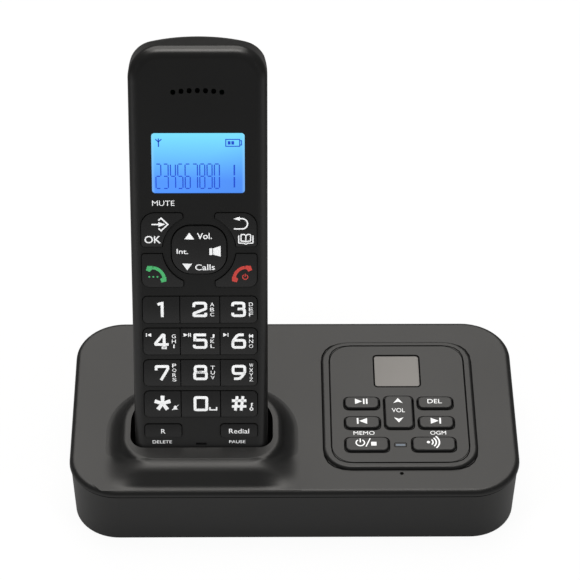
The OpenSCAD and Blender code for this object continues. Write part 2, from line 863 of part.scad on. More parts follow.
module face_openings() {
    for (row = [0:3]) row_plan(row, run_gap);
    for (side = [-1, 1]) {
        shoulder_plan(side, 1, run_gap);
        shoulder_plan(side, -1, run_gap);
        small_key_plan(side, run_gap);
    }
    nav_plan(nav_gap);
    screen_plan(0.1);
    ear_plan();
    translate([0, mouth_z]) square([4, 0.9], center = true);
}

module handset_front_shell() {
    color([0.12, 0.12, 0.12]) in_cradle() difference() {
        union() {
            difference() {
                front_form();
                into_face(face_wall, hs_t) face_plan(hs_wall);
            }
            at_hs_screws() pin_into_face(face_wall - eps, hs_seam, hs_boss_r);
        }
        into_face(-1, face_wall + eps) face_openings();
        at_hs_screws() pin_into_face(face_wall + 1.2, hs_seam + 1, hs_screw_r);
    }
}

module cover_plan(grow) {
    translate([0, cover_z])
        round_plan(cover_w + 2 * grow, cover_l + 2 * grow, 4 + grow, 4 + grow);
}

module handset_back_shell() {
    color([0.11, 0.11, 0.11]) in_cradle() difference() {
        union() {
            difference() {
                back_form(0);
                back_form(hs_wall);
            }
            // Rebated rim that carries the battery cover, and the tray that holds the cells
            intersection() {
                difference() {
                    back_form(0);
                    back_form(hs_wall + run_gap + 1.2);
                }
                into_face(hs_seam, far) cover_plan(1.8);
            }
            intersection() {
                back_form(0);
                into_face(bay_floor_y - 1.2, hs_t) bay_plan(1.2);
            }
            intersection() {
                back_form(0);
                at_hs_screws() pin_into_face(hs_seam - 1, hs_t, hs_boss_r + 0.9);
            }
        }
        translate([-far / 2, -far + hs_seam, -1]) cube([far, far, hs_l + 2]);
        difference() {
            into_face(hs_seam, far) cover_plan(run_gap);
            back_form(hs_wall + run_gap);
        }
        into_face(bay_floor_y, far) bay_plan(0);
        at_hs_screws() {
            pin_into_face(hs_seam - 1, far, hs_screw_r + 0.1);
            pin_into_face(hs_head_y, far, hs_head_r + 0.2);
        }
        translate([0, 0, -1]) linear_extrude(hs_wall + 2) contact_plan(0.1);
        // Sound slots of the ringer
        for (i = [-2:2]) into_face(hs_t - hs_wall - 2, far) translate([0, ringer_z + 3 * i])
            round_plan(14 - i * i, 1.3, 0.6, 0.6);
    }
}

module bay_plan(grow) {
    translate([0, cover_z]) round_plan(bay_w + 2 * grow, bay_l + 2 * grow, 1 + grow, 1 + grow);
}

module battery_cover() {
    color([0.12, 0.12, 0.12]) in_cradle() difference() {
        intersection() {
            difference() {
                back_form(0);
                back_form(hs_wall);
            }
            into_face(hs_seam, far) cover_plan(0);
        }
        // Thumb scoop at the lower end
        translate([0, hs_t + 14, cover_z - cover_l / 2 + 12]) rotate([0, 90, 0])
            cylinder(h = 14, r = 15, center = true);
    }
}

// ---------------------------------------------------------------- handset, inner pieces

module display_window() {
    color([0.35, 0.6, 0.95]) in_cradle() into_face(0.2, 0.2 + window_t) screen_plan(0);
}

module display_module() {
    color([0.5, 0.55, 0.6]) in_cradle() {
        into_face(0.2 + window_t, hs_board_y) screen_plan(-0.4);
        into_face(face_wall + 0.6, hs_board_y) screen_plan(module_rim);
    }
}

module handset_board() {
    color([0.1, 0.35, 0.2]) in_cradle() difference() {
        union() {
            into_face(hs_board_y, hs_board_y + hs_board_t) translate([0, hs_l / 2 - 1])
                round_plan(hs_w - 2 * hs_wall - 7, hs_l - 14, 6, 2);
            // Shielded radio module and the processor on the back of the board
            into_face(hs_board_y, hs_board_y + hs_board_t + hs_radio_size.z)
                translate([0, screen_z - 4]) square([hs_radio_size.x, hs_radio_size.y], center = true);
            into_face(hs_board_y, hs_board_y + hs_board_t + hs_chip_size.z)
                translate([0, nav_z + 4]) square([hs_chip_size.x, hs_chip_size.y], center = true);
        }
        at_hs_screws() pin_into_face(0, far, hs_boss_r + 0.3);
    }
}

module handset_keymat() {
    color([0.45, 0.45, 0.45]) in_cradle() difference() {
        union() {
            into_face(mat_y + 0.4, hs_board_y) translate([0, (small_key_z + nav_z + 11) / 2])
                round_plan(keys_w - 3, nav_z + 11 - small_key_z + 8, 2, 2);
            // Domes under the keys
            into_face(mat_y, hs_board_y) {
                for (row = [0:3], x = [-key_x, 0, key_x])
                    translate([x, row_z + row * row_pitch]) circle(3.2);
                for (x = [-key_x, key_x]) {
                    translate([x, small_key_z]) circle(2);
                    for (rise = [-1, 1])
                        translate([1.15 * x, nav_z - 0.2 + rise * shoulder_rise]) circle(2.4);
                }
            }
        }
        into_face(0, far) nav_plan(1.5);
        at_hs_screws() pin_into_face(0, far, hs_boss_r + 0.3);
    }
}

module earpiece_speaker() {
    color([0.3, 0.3, 0.32]) in_cradle() translate([0, 0, ear_z]) {
        pin_into_face(face_wall, face_wall + ear_rim_t, ear_r);
        pin_into_face(face_wall, face_wall + ear_t, 0.6 * ear_r);
    }
}

module ringer_speaker() {
    // It bears on the curved back along its rim
    face = belly_y + sqrt((hs_belly_r - hs_wall) ^ 2 - ringer_r ^ 2) - eps;
    color([0.3, 0.3, 0.32]) in_cradle() translate([0, 0, ringer_z]) {
        pin_into_face(face - 2, face, ringer_r);
        pin_into_face(face - 4.5, face, ringer_r * 0.6);
    }
}

module handset_microphone() {
    color([0.6, 0.6, 0.62]) in_cradle() translate([0, 0, mouth_z])
        pin_into_face(face_wall, face_wall + 1.8, 2.2);
}

// One cell standing up, its plus end at the top; rolled cells have a small button there
module cell() {
    cylinder(h = cell_l - 1, r = cell_d / 2);
    cylinder(h = cell_l, r = 2.7);
}

module batteries() {
    color([0.2, 0.45, 0.3]) in_cradle() for (side = [-1, 1])
        translate([side * (cell_d / 2 + 0.2), bay_floor_y + cell_d / 2 + 0.1, cover_z])
            scale([1, 1, side]) translate([0, 0, -cell_l / 2 + 1.2]) cell();
}

// Spring on the minus end and a stamped plate on the plus end of each cell
module battery_contacts() {
    color([0.8, 0.8, 0.82]) in_cradle() for (side = [-1, 1])
        translate([side * (cell_d / 2 + 0.2), bay_floor_y + cell_d / 2 + 0.1, cover_z])
            scale([1, 1, side]) {
                translate([-4, -4, -bay_l / 2]) cube([8, 8, 0.5]);
                translate([0, 0, -bay_l / 2]) cylinder(h = bay_l / 2 - cell_l / 2 + 1, r = 2.4);
                translate([-4, -4, bay_l / 2 - 0.5]) cube([8, 8, 0.5]);
                translate([0, 0, cell_l / 2 + 1.4]) cylinder(h = bay_l / 2 - cell_l / 2 - 1.4, r = 2);
            }
}

module handset_charge_contacts() {
    color([0.85, 0.75, 0.45]) in_cradle() {
        translate([0, 0, contact_lift]) linear_extrude(hs_wall - contact_lift + 0.3)
            contact_plan(0);
        translate([0, 0, hs_wall]) linear_extrude(0.6) contact_plan(0.7);
    }
}

module handset_screws() {
    color([0.7, 0.7, 0.72]) in_cradle() at_hs_screws() {
        pin_into_face(face_wall + 1.8, hs_head_y + eps, hs_screw_r - 0.05);
        pin_into_face(hs_head_y, hs_head_y + 1.5, hs_head_r);
    }
}

// ---------------------------------------------------------------- keys of the handset

// A cap that stands out of the face through its hole, crowned to a radius about the level z
module cap(crown_r, z) {
    intersection() {
        into_face(-key_proud, flange_y + eps) children();
        translate([0, crown_r - key_proud, z]) rotate([0, 90, 0])
            cylinder(h = far, r = crown_r, center = true);
    }
}

module column_strip(col) {
    edge = middle_w / 2;
    w = keys_w / 2 - edge + 1;
    if (col == 1) square([middle_w - key_slit, 4 * hs_l], center = true);
    else translate([(col - 1) * (edge + w / 2 + key_slit / 2), 0])
        square([w, 4 * hs_l], center = true);
}

module number_key(col, row) {
    z = row_z + row * row_pitch;
    color([0.17, 0.17, 0.17]) in_cradle() {
        cap(number_crown, z) intersection() {
            row_plan(row, 0);
            column_strip(col);
        }
        into_face(flange_y, flange_y + flange_t) intersection() {
            translate([0, z]) square([keys_w, key_h + 1.4], center = true);
            column_strip(col);
        }
    }
}

module shoulder_key(side, rise) {
    color([0.17, 0.17, 0.17]) in_cradle() {
        cap(shoulder_crown, nav_z + rise * shoulder_rise) shoulder_plan(side, rise, 0);
        into_face(flange_y, flange_y + flange_t) shoulder_plan(side, rise, 0.6);
    }
}

module small_key(side) {
    color([0.17, 0.17, 0.17]) in_cradle() {
        cap(small_crown, small_key_z) small_key_plan(side, 0);
        into_face(flange_y, flange_y + flange_t) small_key_plan(side, 0.6);
    }
}

module ok_key() {
    shoulder_key(-1, 1);
}

module phonebook_key() {
    shoulder_key(1, 1);
}

module talk_key() {
    shoulder_key(-1, -1);
}

module end_key() {
    shoulder_key(1, -1);
}

module recall_key() {
    small_key(-1);
}

module redial_key() {
    small_key(1);
}

module nav_pad() {
    color([0.17, 0.17, 0.17]) in_cradle() {
        intersection() {
            into_face(-nav_proud, nav_flange_y + eps) nav_plan(0);
            translate([0, nav_crown - nav_proud, nav_z]) sphere(r = nav_crown, $fn = 128);
        }
        into_face(nav_flange_y, nav_flange_y + 0.7) nav_plan(0.8);
    }
}

// The rubber button that the pad tilts on
module nav_pad_pivot() {
    color([0.4, 0.4, 0.4]) in_cradle() translate([0, 0, nav_z])
        pin_into_face(nav_flange_y + 0.7 + run_gap, hs_board_y - run_gap, 3.5);
}

module key_1() {
    number_key(0, 3);
}

module key_2() {
    number_key(1, 3);
}

module key_3() {
    number_key(2, 3);
}

module key_4() {
    number_key(0, 2);
}

module key_5() {
    number_key(1, 2);
}

module key_6() {
    number_key(2, 2);
}

module key_7() {
    number_key(0, 1);
}

module key_8() {
    number_key(1, 1);
}

module key_9() {
    number_key(2, 1);
}

module key_star() {
    number_key(0, 0);
}

module key_0() {
    number_key(1, 0);
}

module key_hash() {
    number_key(2, 0);
}

base_top_shell();
base_bottom_shell();
control_plate();
base_display_window();
base_display_module();
base_board();
base_keymat();
base_speaker();
base_microphone();
status_light_pipe();
charge_springs();
line_jack();
power_jack();
rubber_feet();
base_screws();
play_key();
previous_key();
delete_key();
next_key();
volume_rocker();
power_key();
locate_key();
handset_front_shell();
handset_back_shell();
display_window();
display_module();
handset_board();
handset_keymat();
earpiece_speaker();
ringer_speaker();
handset_microphone();
batteries();
battery_contacts();
handset_charge_contacts();
handset_screws();
battery_cover();
nav_pad_pivot();
nav_pad();
ok_key();
phonebook_key();
talk_key();
end_key();
recall_key();
redial_key();
key_1();
key_2();
key_3();
key_4();
key_5();
key_6();
key_7();
key_8();
key_9();
key_star();
key_0();
key_hash();
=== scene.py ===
"""Looks of a cordless phone that stands in the cradle of its answering machine base."""

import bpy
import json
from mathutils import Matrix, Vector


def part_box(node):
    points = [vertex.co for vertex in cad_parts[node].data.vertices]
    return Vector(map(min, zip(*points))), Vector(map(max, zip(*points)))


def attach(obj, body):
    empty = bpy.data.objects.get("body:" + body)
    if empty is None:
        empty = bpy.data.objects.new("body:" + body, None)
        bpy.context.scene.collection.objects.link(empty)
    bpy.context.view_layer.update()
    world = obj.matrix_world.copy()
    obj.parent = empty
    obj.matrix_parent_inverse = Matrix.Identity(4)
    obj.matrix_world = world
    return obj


bl_info = {
    "name": "Cordless Phone",
    "version": (1, 0, 0),
    "blender": (4, 5, 0),
    "location": "3D View > Sidebar > Phone",
    "description": "Finishes, printed keys, displays and stage of a cordless phone with its base",
    "category": "Object",
}

import json
import math

import bmesh
import bpy
import numpy as np
from bpy.props import FloatProperty, FloatVectorProperty, PointerProperty, StringProperty
from mathutils import Matrix, Vector
from mathutils.geometry import convex_hull_2d

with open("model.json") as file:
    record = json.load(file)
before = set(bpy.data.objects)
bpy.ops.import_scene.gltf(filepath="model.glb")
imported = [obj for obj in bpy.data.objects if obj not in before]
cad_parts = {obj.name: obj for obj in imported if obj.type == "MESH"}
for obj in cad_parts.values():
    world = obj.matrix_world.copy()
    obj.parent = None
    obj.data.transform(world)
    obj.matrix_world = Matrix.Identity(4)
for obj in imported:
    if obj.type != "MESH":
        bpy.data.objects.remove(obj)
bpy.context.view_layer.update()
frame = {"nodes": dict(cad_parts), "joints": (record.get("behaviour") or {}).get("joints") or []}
MM = 0.001

# Sizes of the solids that new pieces lie on, in millimetres: the deck and the roll along its edge,
# the cradle's collar with its flare, the raised platform under the control plate, the flange by
# which a key of the base is wider under the plate, the gap round it, and the radii of the keys' tops
DECK_FRONT = 45.5
DECK_ROLL = 2.2
CRADLE_X = -35.1
COLLAR_FRONT = 33.02
COLLAR_HALF = 28.2
COLLAR_CORNER = 11.0
RIM_RISE = 5.7
FLARE_WIDTH = 9.5
FLARE_BROW = 2.6
FLARE_TOE = 0.08
PLATFORM_SIZE = (56.0, 65.0)
PLATFORM_CORNER = 9.5
PLATFORM_RISE = 1.2
KEY_FLANGE = 0.7
KEY_GAP = 0.3
DIAL_KEY_CROWN = 30
CALL_KEY_CROWN = 60
SMALL_KEY_CROWN = 16
PAD_DOME = 60

# How far the outlines of a word move outwards, as a share of the size of its letters
BOLD, HALF_BOLD, LIGHT = 0.012, 0.006, -0.002


def points_of(mesh):
    """The mesh's points as rows of three numbers."""
    flat = np.empty(len(mesh.vertices) * 3)
    mesh.vertices.foreach_get("co", flat)
    return flat.reshape(-1, 3)


# ---------------------------------------------------------------- planes to print on


class Plane:
    """A direction of looking at a face: unit vectors to the right, up and out of it."""

    def __init__(self, right, up):
        right, up = np.array(right, float), np.array(up, float)
        self.axes = np.array([right, up, np.cross(right, up)])

    def spans(self, node):
        """Lowest and highest of a CAD node's points along the plane's three directions."""
        local = points_of(frame["nodes"][node].data) @ self.axes.T
        return local.min(0), local.max(0)

    def top(self, node):
        """The middle of a node seen from outside, on the level of its outermost point."""
        low, high = self.spans(node)
        return np.array([(low[0] + high[0]) / 2, (low[1] + high[1]) / 2, high[2]])


LIFT_AXIS = next(j["axis"] for j in frame["joints"] if j["name"] == "handset_lift")
DECK = Plane((1, 0, 0), (0, 1, 0))
FACE = Plane((1, 0, 0), LIFT_AXIS)


def level(right, up):
    """A flat surface: it drops by nothing."""
    return 0 * up


def crowned(radius):
    """A surface bent about a level line: it drops by r - sqrt(r^2 - up^2)."""
    return lambda right, up: radius - np.sqrt(radius**2 - up**2)


def domed(radius):
    """The cap of a ball: it drops by r - sqrt(r^2 - right^2 - up^2)."""
    return lambda right, up: radius - np.sqrt(radius**2 - right**2 - up**2)


# ---------------------------------------------------------------- flat shapes, in millimetres
# A shape is a pair: its points as rows, and its faces as lists of row numbers.


def polygon(*points):
    """One face with these corners."""
    return np.array(points, float), [list(range(len(points)))]


def arc(x, y, radius, start, stop, count=24):
    """Points on a circle: (x + r cos a, y + r sin a) for angles in degrees from start to stop."""
    a = np.radians(np.linspace(start, stop, count))
    return np.stack([x + radius * np.cos(a), y + radius * np.sin(a)], 1)


def disc(x, y, radius):
    """A filled circle."""
    return polygon(*arc(x, y, radius, 0, 345))


def block(left, bottom, right, top):
    """A filled rectangle."""
    return polygon((left, bottom), (right, bottom), (right, top), (left, top))


def ribbon(points, width, closed=False):
    """A band along a line. At each point it spreads half its width to both sides, along the
    bisector of the neighbouring normals, divided by the cosine of half the bend. Points on top
    of the one before them are dropped."""
    line = np.array(points, float)
    line = line[np.linalg.norm(line - np.roll(line, 1, 0), axis=1) > 1e-6]
    step = np.roll(line, -1, 0) - line
    if not closed:
        step[-1] = step[-2]
    step /= np.linalg.norm(step, axis=1, keepdims=True)
    normal = np.stack([-step[:, 1], step[:, 0]], 1)
    before = np.roll(normal, 1, 0)
    if not closed:
        before[0] = normal[0]
    bisector = normal + before
    bisector /= np.linalg.norm(bisector, axis=1, keepdims=True)
    reach = np.broadcast_to(width, len(line)) / 2 / np.maximum((bisector * normal).sum(1), 0.4)
    offset = bisector * reach[:, None]
    count = len(line)
    ends = count if closed else count - 1
    faces = [[i, (i + 1) % count, count + (i + 1) % count, count + i] for i in range(ends)]
    return np.vstack([line + offset, line - offset]), faces


def rounded(points, radius, closed=False):
    """A line whose corners are replaced by (1-t)^2 a + 2t(1-t) b + t^2 c, where b is the corner
    and a and c lie the radius away from it, or half a side away if that is less."""
    line = np.array(points, float)
    t = np.linspace(0, 1, 6)[:, None]
    out = [] if closed else [line[:1]]
    for i in range(0 if closed else 1, len(line) if closed else len(line) - 1):
        b = line[i]
        sides = [line[i - 1] - b, line[(i + 1) % len(line)] - b]
        lengths = [np.linalg.norm(s) for s in sides]
        a, c = (b + s / n * min(radius, n / 2) for s, n in zip(sides, lengths))
        out.append((1 - t) ** 2 * a + 2 * t * (1 - t) * b + t**2 * c)
    if not closed:
        out.append(line[-1:])
    return np.vstack(out)


def moved(shapes, right, up):
    """The shapes, shifted."""
    return [(points + (right, up), faces) for points, faces in shapes]


def words(text, width, height, weight=0.0):
    """Plain lettering, stretched to a width and a height about its middle. The weight moves its
    outlines outwards before that."""
    curve = bpy.data.curves.new("lettering", "FONT")
    curve.body = text
    curve.offset = weight
    holder = bpy.data.objects.new("lettering", curve)
    mesh = bpy.data.meshes.new_from_object(holder)
    points = points_of(mesh)[:, :2]
    faces = [list(face.vertices) for face in mesh.polygons]
    bpy.data.objects.remove(holder)
    bpy.data.meshes.remove(mesh)
    bpy.data.curves.remove(curve)
    low, high = points.min(0), points.max(0)
    return [((points - (low + high) / 2) / (high - low) * (width, height), faces)]


# Centre lines of the digits in a box one wide and one high, each with the rounding of its corners
# in millimetres and whether it is closed
DIGITS = {
    "1": [([(0.22, 0.9), (0.6, 1.0)], 0, False), ([(0.6, 1.09), (0.6, -0.1)], 0, False)],
    "2": [([(0, 0.7), (0, 1), (1, 1), (1, 0.6)], 0.9, False),
          ([(1, 0.7), (1, 0.56), (0, 0.2), (0, 0), (1, 0), (1, 0.24)], 0.35, False)],
    "3": [([(0, 0.76), (0, 1), (0.95, 1), (0.95, 0.54), (0.42, 0.54)], 0.8, False),
          ([(0.6, 0.54), (1, 0.54), (1, 0), (0, 0), (0, 0.24)], 0.9, False)],
    "4": [([(0.72, -0.1), (0.72, 1), (0.6, 1), (0, 0.36), (0, 0.25), (1.1, 0.25)], 0.2, False),
          ([(0.5, -0.02), (0.94, -0.02)], 0, False)],
    "5": [([(1.0, 1), (0.05, 1), (0.05, 0.5)], 0.1, False),
          ([(0.05, 0.6), (1, 0.6), (1, 0), (0, 0), (0, 0.22)], 0.9, False)],
    "6": [([(0.92, 1), (0.4, 1), (0, 0.5), (0, 0.3)], 0.9, False),
          ([(0, 0), (1, 0), (1, 0.57), (0, 0.57)], 0.9, True)],
    "7": [([(0, 0.7), (0, 1), (1, 1), (1, 0.82), (0.4, -0.1)], 0.25, False)],
    "8": [([(0.05, 0.54), (0.95, 0.54), (0.95, 1), (0.05, 1)], 0.8, True),
          ([(0, 0), (1, 0), (1, 0.54), (0, 0.54)], 0.8, True)],
    "9": [([(0.08, 0), (0.6, 0), (1, 0.5), (1, 0.7)], 0.9, False),
          ([(0, 0.43), (1, 0.43), (1, 1), (0, 1)], 0.9, True)],
    "0": [([(0, 0), (1, 0), (1, 1), (0, 1)], 0.5, True)],
}


def digit(name, size):
    """A digit as bands along its centre lines, whose box is the digit's less one stroke."""
    stroke = size.stroke / MM
    box = np.array([size.digit_width, size.digit_height]) / MM - stroke
    return [
        ribbon(rounded((np.array(line) - 0.5) * box, corner, closed), stroke, closed)
        for line, corner, closed in DIGITS[name]
    ]


def star(reach, width):
    """Five bars from the middle, 72 degrees apart."""
    turns = np.radians(90 + 72 * np.arange(5))
    tips = reach * np.stack([np.cos(turns), np.sin(turns)], 1)
    return [ribbon([tip * -0.1, tip], [width * 0.75, width]) for tip in tips]


def hash_sign(width, height, stroke):
    """Two level bars and two that lean to the right."""
    bars = [ribbon([(-width / 2, y), (width / 2, y)], stroke) for y in (-height / 5, height / 5)]
    for x in (-width / 5, width / 5):
        bars.append(ribbon([(x - 0.35, -height / 2), (x + 0.35, height / 2)], stroke))
    return bars


# Ends of the seven bars of a display digit, in a box one wide and one high
BARS = {
    "a": ((0, 1), (1, 1)), "b": ((1, 1), (1, 0.5)), "c": ((1, 0.5), (1, 0)),
    "d": ((0, 0), (1, 0)), "e": ((0, 0.5), (0, 0)), "f": ((0, 1), (0, 0.5)),
    "g": ((0, 0.5), (1, 0.5)),
}
BARS_OF = {
    "0": "abcdef", "1": "bc", "2": "abged", "3": "abgcd", "4": "fgbc", "5": "afgcd",
    "6": "afgedc", "7": "abc", "8": "abcdefg", "9": "abcdfg",
}


def display_digit(name, width, height, stroke):
    """The lit bars of a seven-bar digit, each a little short of its neighbours."""
    shapes = []
    for bar in BARS_OF[name]:
        a, b = (np.array(end) * (width, height) for end in BARS[bar])
        gap = (b - a) / np.linalg.norm(b - a) * stroke * 0.6
        shapes.append(ribbon([a + gap, b - gap], stroke))
    return shapes


# ---------------------------------------------------------------- pictures on the keys


def arrow_head(x, y, width, height):
    """A triangle that points up, or down where the height is negative."""
    low = y - height / 2
    return [polygon((x - width / 2, low), (x + width / 2, low), (x, y + height / 2))]


def notched_head(x, y, width, height):
    """An arrow head with a notch in its base."""
    return [polygon(
        (x - width / 2, y - height / 2), (x, y - height / 5),
        (x + width / 2, y - height / 2), (x, y + height / 2),
    )]


def play_sign(width, height):
    """A triangle that points to the right, and two bars."""
    half = height / 2
    tip = width * 0.06
    return [
        polygon((-width / 2, -half), (tip, 0), (-width / 2, half)),
        block(width * 0.14, -half, width * 0.26, half),
        block(width * 0.38, -half, width * 0.5, half),
    ]


def skip_sign(width, height, side):
    """A triangle and a bar that it points at; side is 1 to the right and -1 to the left."""
    half = height / 2
    shapes = [
        polygon((-width / 2, -half), (width * 0.26, 0), (-width / 2, half)),
        block(width * 0.34, -half, width * 0.5, half),
    ]
    return [(points * (side, 1), faces) for points, faces in shapes]


def enter_sign():
    """An arrow that runs into an open corner."""
    return [
        ribbon([(-3.1, 0), (0.4, 0)], 0.5),
        polygon((-0.6, -0.95), (1.9, 0), (-0.6, 0.95)),
        ribbon([(-0.6, 1.5), (0.35, 2.4), (2.8, 0), (0.35, -2.4), (-0.6, -1.5)], 0.5),
    ]


def return_sign():
    """An arrow that turns back to the left."""
    return [
        ribbon(np.vstack([[(-2.4, -2.05)], arc(0.6, -0.1, 1.95, -90, 90), [(-0.6, 1.85)]]), 0.5),
        polygon((-2.6, 1.75), (-0.2, 1.05), (-0.2, 2.6)),
    ]


def book_sign():
    """Two open pages in a cover."""
    shapes = [ribbon([(0, -1.1), (0, 1.5)], 0.45)]
    for side in (-1, 1):
        page = [(0, 1.5), (0.9, 1.95), (1.75, 1.8), (1.75, -0.8), (0.9, -0.7), (0, -1.1)]
        cover = [(0, -2.0), (0.8, -1.55), (2.6, -1.55), (2.6, 1.5)]
        for line, corner in ((page, 0.35), (cover, 0.25)):
            shapes.append(ribbon(rounded(np.array(line) * (side, 1), corner), 0.45))
    return shapes


def handset_sign(side):
    """A receiver that leans: an arc with a cup at each end; side -1 leans to the left."""
    shapes = [
        ribbon(arc(-2.3, -2.9, 5.15, 8, 82, 20), 1.35),
        ribbon([(-3.75, 0.75), (-3.2, 2.05), (-1.75, 2.3)], [1.7, 2.0, 1.4]),
        ribbon([(1.45, -3.5), (2.8, -3.05), (3.0, -1.75)], [1.7, 2.0, 1.4]),
    ]
    return [(points * (-0.9 * side, 0.9), faces) for points, faces in shapes]


def speaker_sign():
    """The box and the horn of a loudspeaker."""
    return [
        block(-2.05, -1.3, -0.95, 1.3),
        polygon((-0.7, -1.2), (2.05, -2.1), (2.05, 2.1), (-0.7, 1.2)),
    ]


def power_sign(radius, stroke):
    """A ring open at the top with a bar in the gap."""
    return [
        ribbon(arc(0, 0, radius, 122, 418), stroke),
        ribbon([(0, radius * 0.1), (0, radius * 1.35)], stroke),
    ]


def wave_sign():
    """A dot that sends out three waves to the right."""
    return [disc(0, 0, 0.62)] + [ribbon(arc(0, 0, r, -46, 46), 0.55) for r in (1.75, 2.95, 4.15)]


def bell_sign():
    """A small bell with a stroke through it."""
    return [
        polygon(
            (-1.15, -0.8), (1.0, -0.8), (0.6, -0.3), (0.5, 0.5),
            (0, 0.85), (-0.5, 0.5), (-0.65, -0.3),
        ),
        ribbon([(-1.2, -1.05), (1.2, 1.05)], 0.22),
    ]


def space_sign():
    """A flat bracket that opens upwards."""
    return [ribbon([(-1.25, 0.7), (-1.25, -0.45), (1.25, -0.45), (1.25, 0.7)], 0.5)]


def key_sign():
    """A ring with a shaft and two teeth."""
    return [
        ribbon(arc(0, -0.95, 0.55, 0, 345), 0.36, True),
        ribbon([(0, -0.4), (0, 1.5)], 0.36),
        ribbon([(0, 1.35), (0.6, 1.35)], 0.36),
        ribbon([(0, 0.7), (0.5, 0.7)], 0.36),
    ]


def antenna_sign():
    """A mast with two arms."""
    return [
        ribbon([(0, -1.6), (0, 1.6)], 0.42),
        ribbon([(-1.1, 1.35), (0, 0.3), (1.1, 1.35)], 0.4),
    ]


def battery_sign():
    """A lying cell with two full fields."""
    return [
        ribbon([(-2.9, -1.3), (2.1, -1.3), (2.1, 1.3), (-2.9, 1.3)], 0.36, True),
        ribbon([(2.2, 0.8), (2.75, 0.8), (2.75, -0.8), (2.2, -0.8)], 0.36),
        block(-2.2, -0.65, -1.2, 0.65),
        block(-0.9, -0.65, 0.1, 0.65),
    ]


# ---------------------------------------------------------------- pieces


def sliced(shapes, surface, step=0.7):
    """The shapes as one flat mesh of triangles, cut by lines a step apart where the surface
    that they will lie on is bent, and given back as points and triangles."""
    starts = np.cumsum([0] + [len(points) for points, _ in shapes])
    points = np.vstack([points for points, _ in shapes])
    faces = [[i + start for i in face] for (_, fs), start in zip(shapes, starts) for face in fs]
    mesh = bpy.data.meshes.new("flat")
    mesh.from_pydata(np.column_stack([points, np.zeros(len(points))]).tolist(), [], faces)
    work = bmesh.new()
    work.from_mesh(mesh)
    cuts = () if surface is level else (0, 1)
    for axis in cuts:
        normal = np.eye(3)[axis]
        for place in np.arange(points[:, axis].min() + step / 2, points[:, axis].max(), step):
            geometry = work.verts[:] + work.edges[:] + work.faces[:]
            bmesh.ops.bisect_plane(work, geom=geometry, plane_co=normal * place, plane_no=normal)
    bmesh.ops.triangulate(work, faces=work.faces[:])
    work.to_mesh(mesh)
    work.free()
    points = points_of(mesh)[:, :2]
    corners = np.empty(len(mesh.polygons) * 3, np.int32)
    mesh.polygons.foreach_get("vertices", corners)
    bpy.data.meshes.remove(mesh)
    tris = corners.reshape(-1, 3)
    side_a = points[tris[:, 1]] - points[tris[:, 0]]
    side_b = points[tris[:, 2]] - points[tris[:, 0]]
    turned = side_a[:, 0] * side_b[:, 1] < side_a[:, 1] * side_b[:, 0]
    tris[turned] = tris[turned][:, ::-1]
    return points, tris


def closed_piece(name, corners, faces, material, body, smooth=False):
    """A closed piece of these corners and faces, which a body of the frame carries along."""
    mesh = bpy.data.meshes.new(name)
    mesh.from_pydata(corners.tolist(), [], faces)
    mesh.polygons.foreach_set("use_smooth", np.full(len(faces), smooth))
    mesh.materials.append(material)
    piece = bpy.data.objects.new(name, mesh)
    bpy.context.scene.collection.objects.link(piece)
    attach(piece, body)
    return piece


def film(name, shapes, plane, centre, surface, material, body, rise=0.03, depth=0.05):
    """A printed film: the shapes laid on a surface, with a top that stands a little above it and
    a bottom sunk in it. Each rim edge, which only one triangle uses, gets a wall between them."""
    points, tris = sliced(shapes, surface)
    drop = surface(points[:, 0], points[:, 1])
    local = [np.column_stack([points, h - drop]) * MM + centre for h in (rise, -depth)]
    corners = np.vstack(local) @ plane.axes
    edges = np.vstack([tris[:, [0, 1]], tris[:, [1, 2]], tris[:, [2, 0]]])
    _, first, uses = np.unique(np.sort(edges, 1), axis=0, return_index=True, return_counts=True)
    rim = edges[first[uses == 1]]
    count = len(points)
    walls = np.column_stack([rim[:, 0], rim[:, 0] + count, rim[:, 1] + count, rim[:, 1]])
    faces = tris.tolist() + (tris[:, ::-1] + count).tolist() + walls.tolist()
    return closed_piece(name, corners, faces, material, body)


def on_key(key, shapes, surface, material, plane=FACE):
    """Prints shapes on the middle of a key, which carries them along."""
    name = f"print_{key}_{material.name}"
    return film(name, shapes, plane, plane.top(key), surface, material, key)


def beside(name, node, plane, right, up, out, shapes, body):
    """Prints shapes in white on a flat surface, shifted from the middle of a node to the right and
    up. The surface lies out by that much along the plane's own direction."""
    centre = plane.top(node) + np.array([right, up, 0]) * MM
    centre[2] = out
    return film(name, shapes, plane, centre, level, bpy.data.materials["white_ink"], body)


def band(name, size, radius, width, centre):
    """A band of painted shade on the base, along the outline of a rounded rectangle."""
    x, y = np.array(size) / 2
    line = rounded([(-x, -y), (x, -y), (x, y), (-x, y)], radius, closed=True)
    dark = bpy.data.materials["gap_shade"]
    return film(name, [ribbon(line, width, closed=True)], DECK, centre, level, dark, "base")


def seam_shade(node, outset, radius, width):
    """Painted shade: a dark band level with the control plate, round a piece that is let into it or
    round the plate itself, which stands in for the shade down in the gap and makes the gap look as
    deep as it is. The middle of the band lies the outset beyond the piece's box."""
    low, high = DECK.spans(node)
    centre = DECK.top(node)
    centre[2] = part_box("control_plate")[1].z
    return band(f"seam_{node}", (high - low)[:2] / MM + 2 * outset, radius, width, centre)


def foot_shade(width):
    """Painted shadow: a dark band on the deck round the foot of the raised platform, where the
    platform's shade falls. Its rounded edge reaches as far beyond the platform's plan as it rises."""
    centre = DECK.top("control_plate")
    centre[2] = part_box("control_plate")[1].z - PLATFORM_RISE * MM
    size = np.array(PLATFORM_SIZE) + 2 * PLATFORM_RISE
    return band("foot_shade", size, PLATFORM_CORNER + PLATFORM_RISE, width, centre)


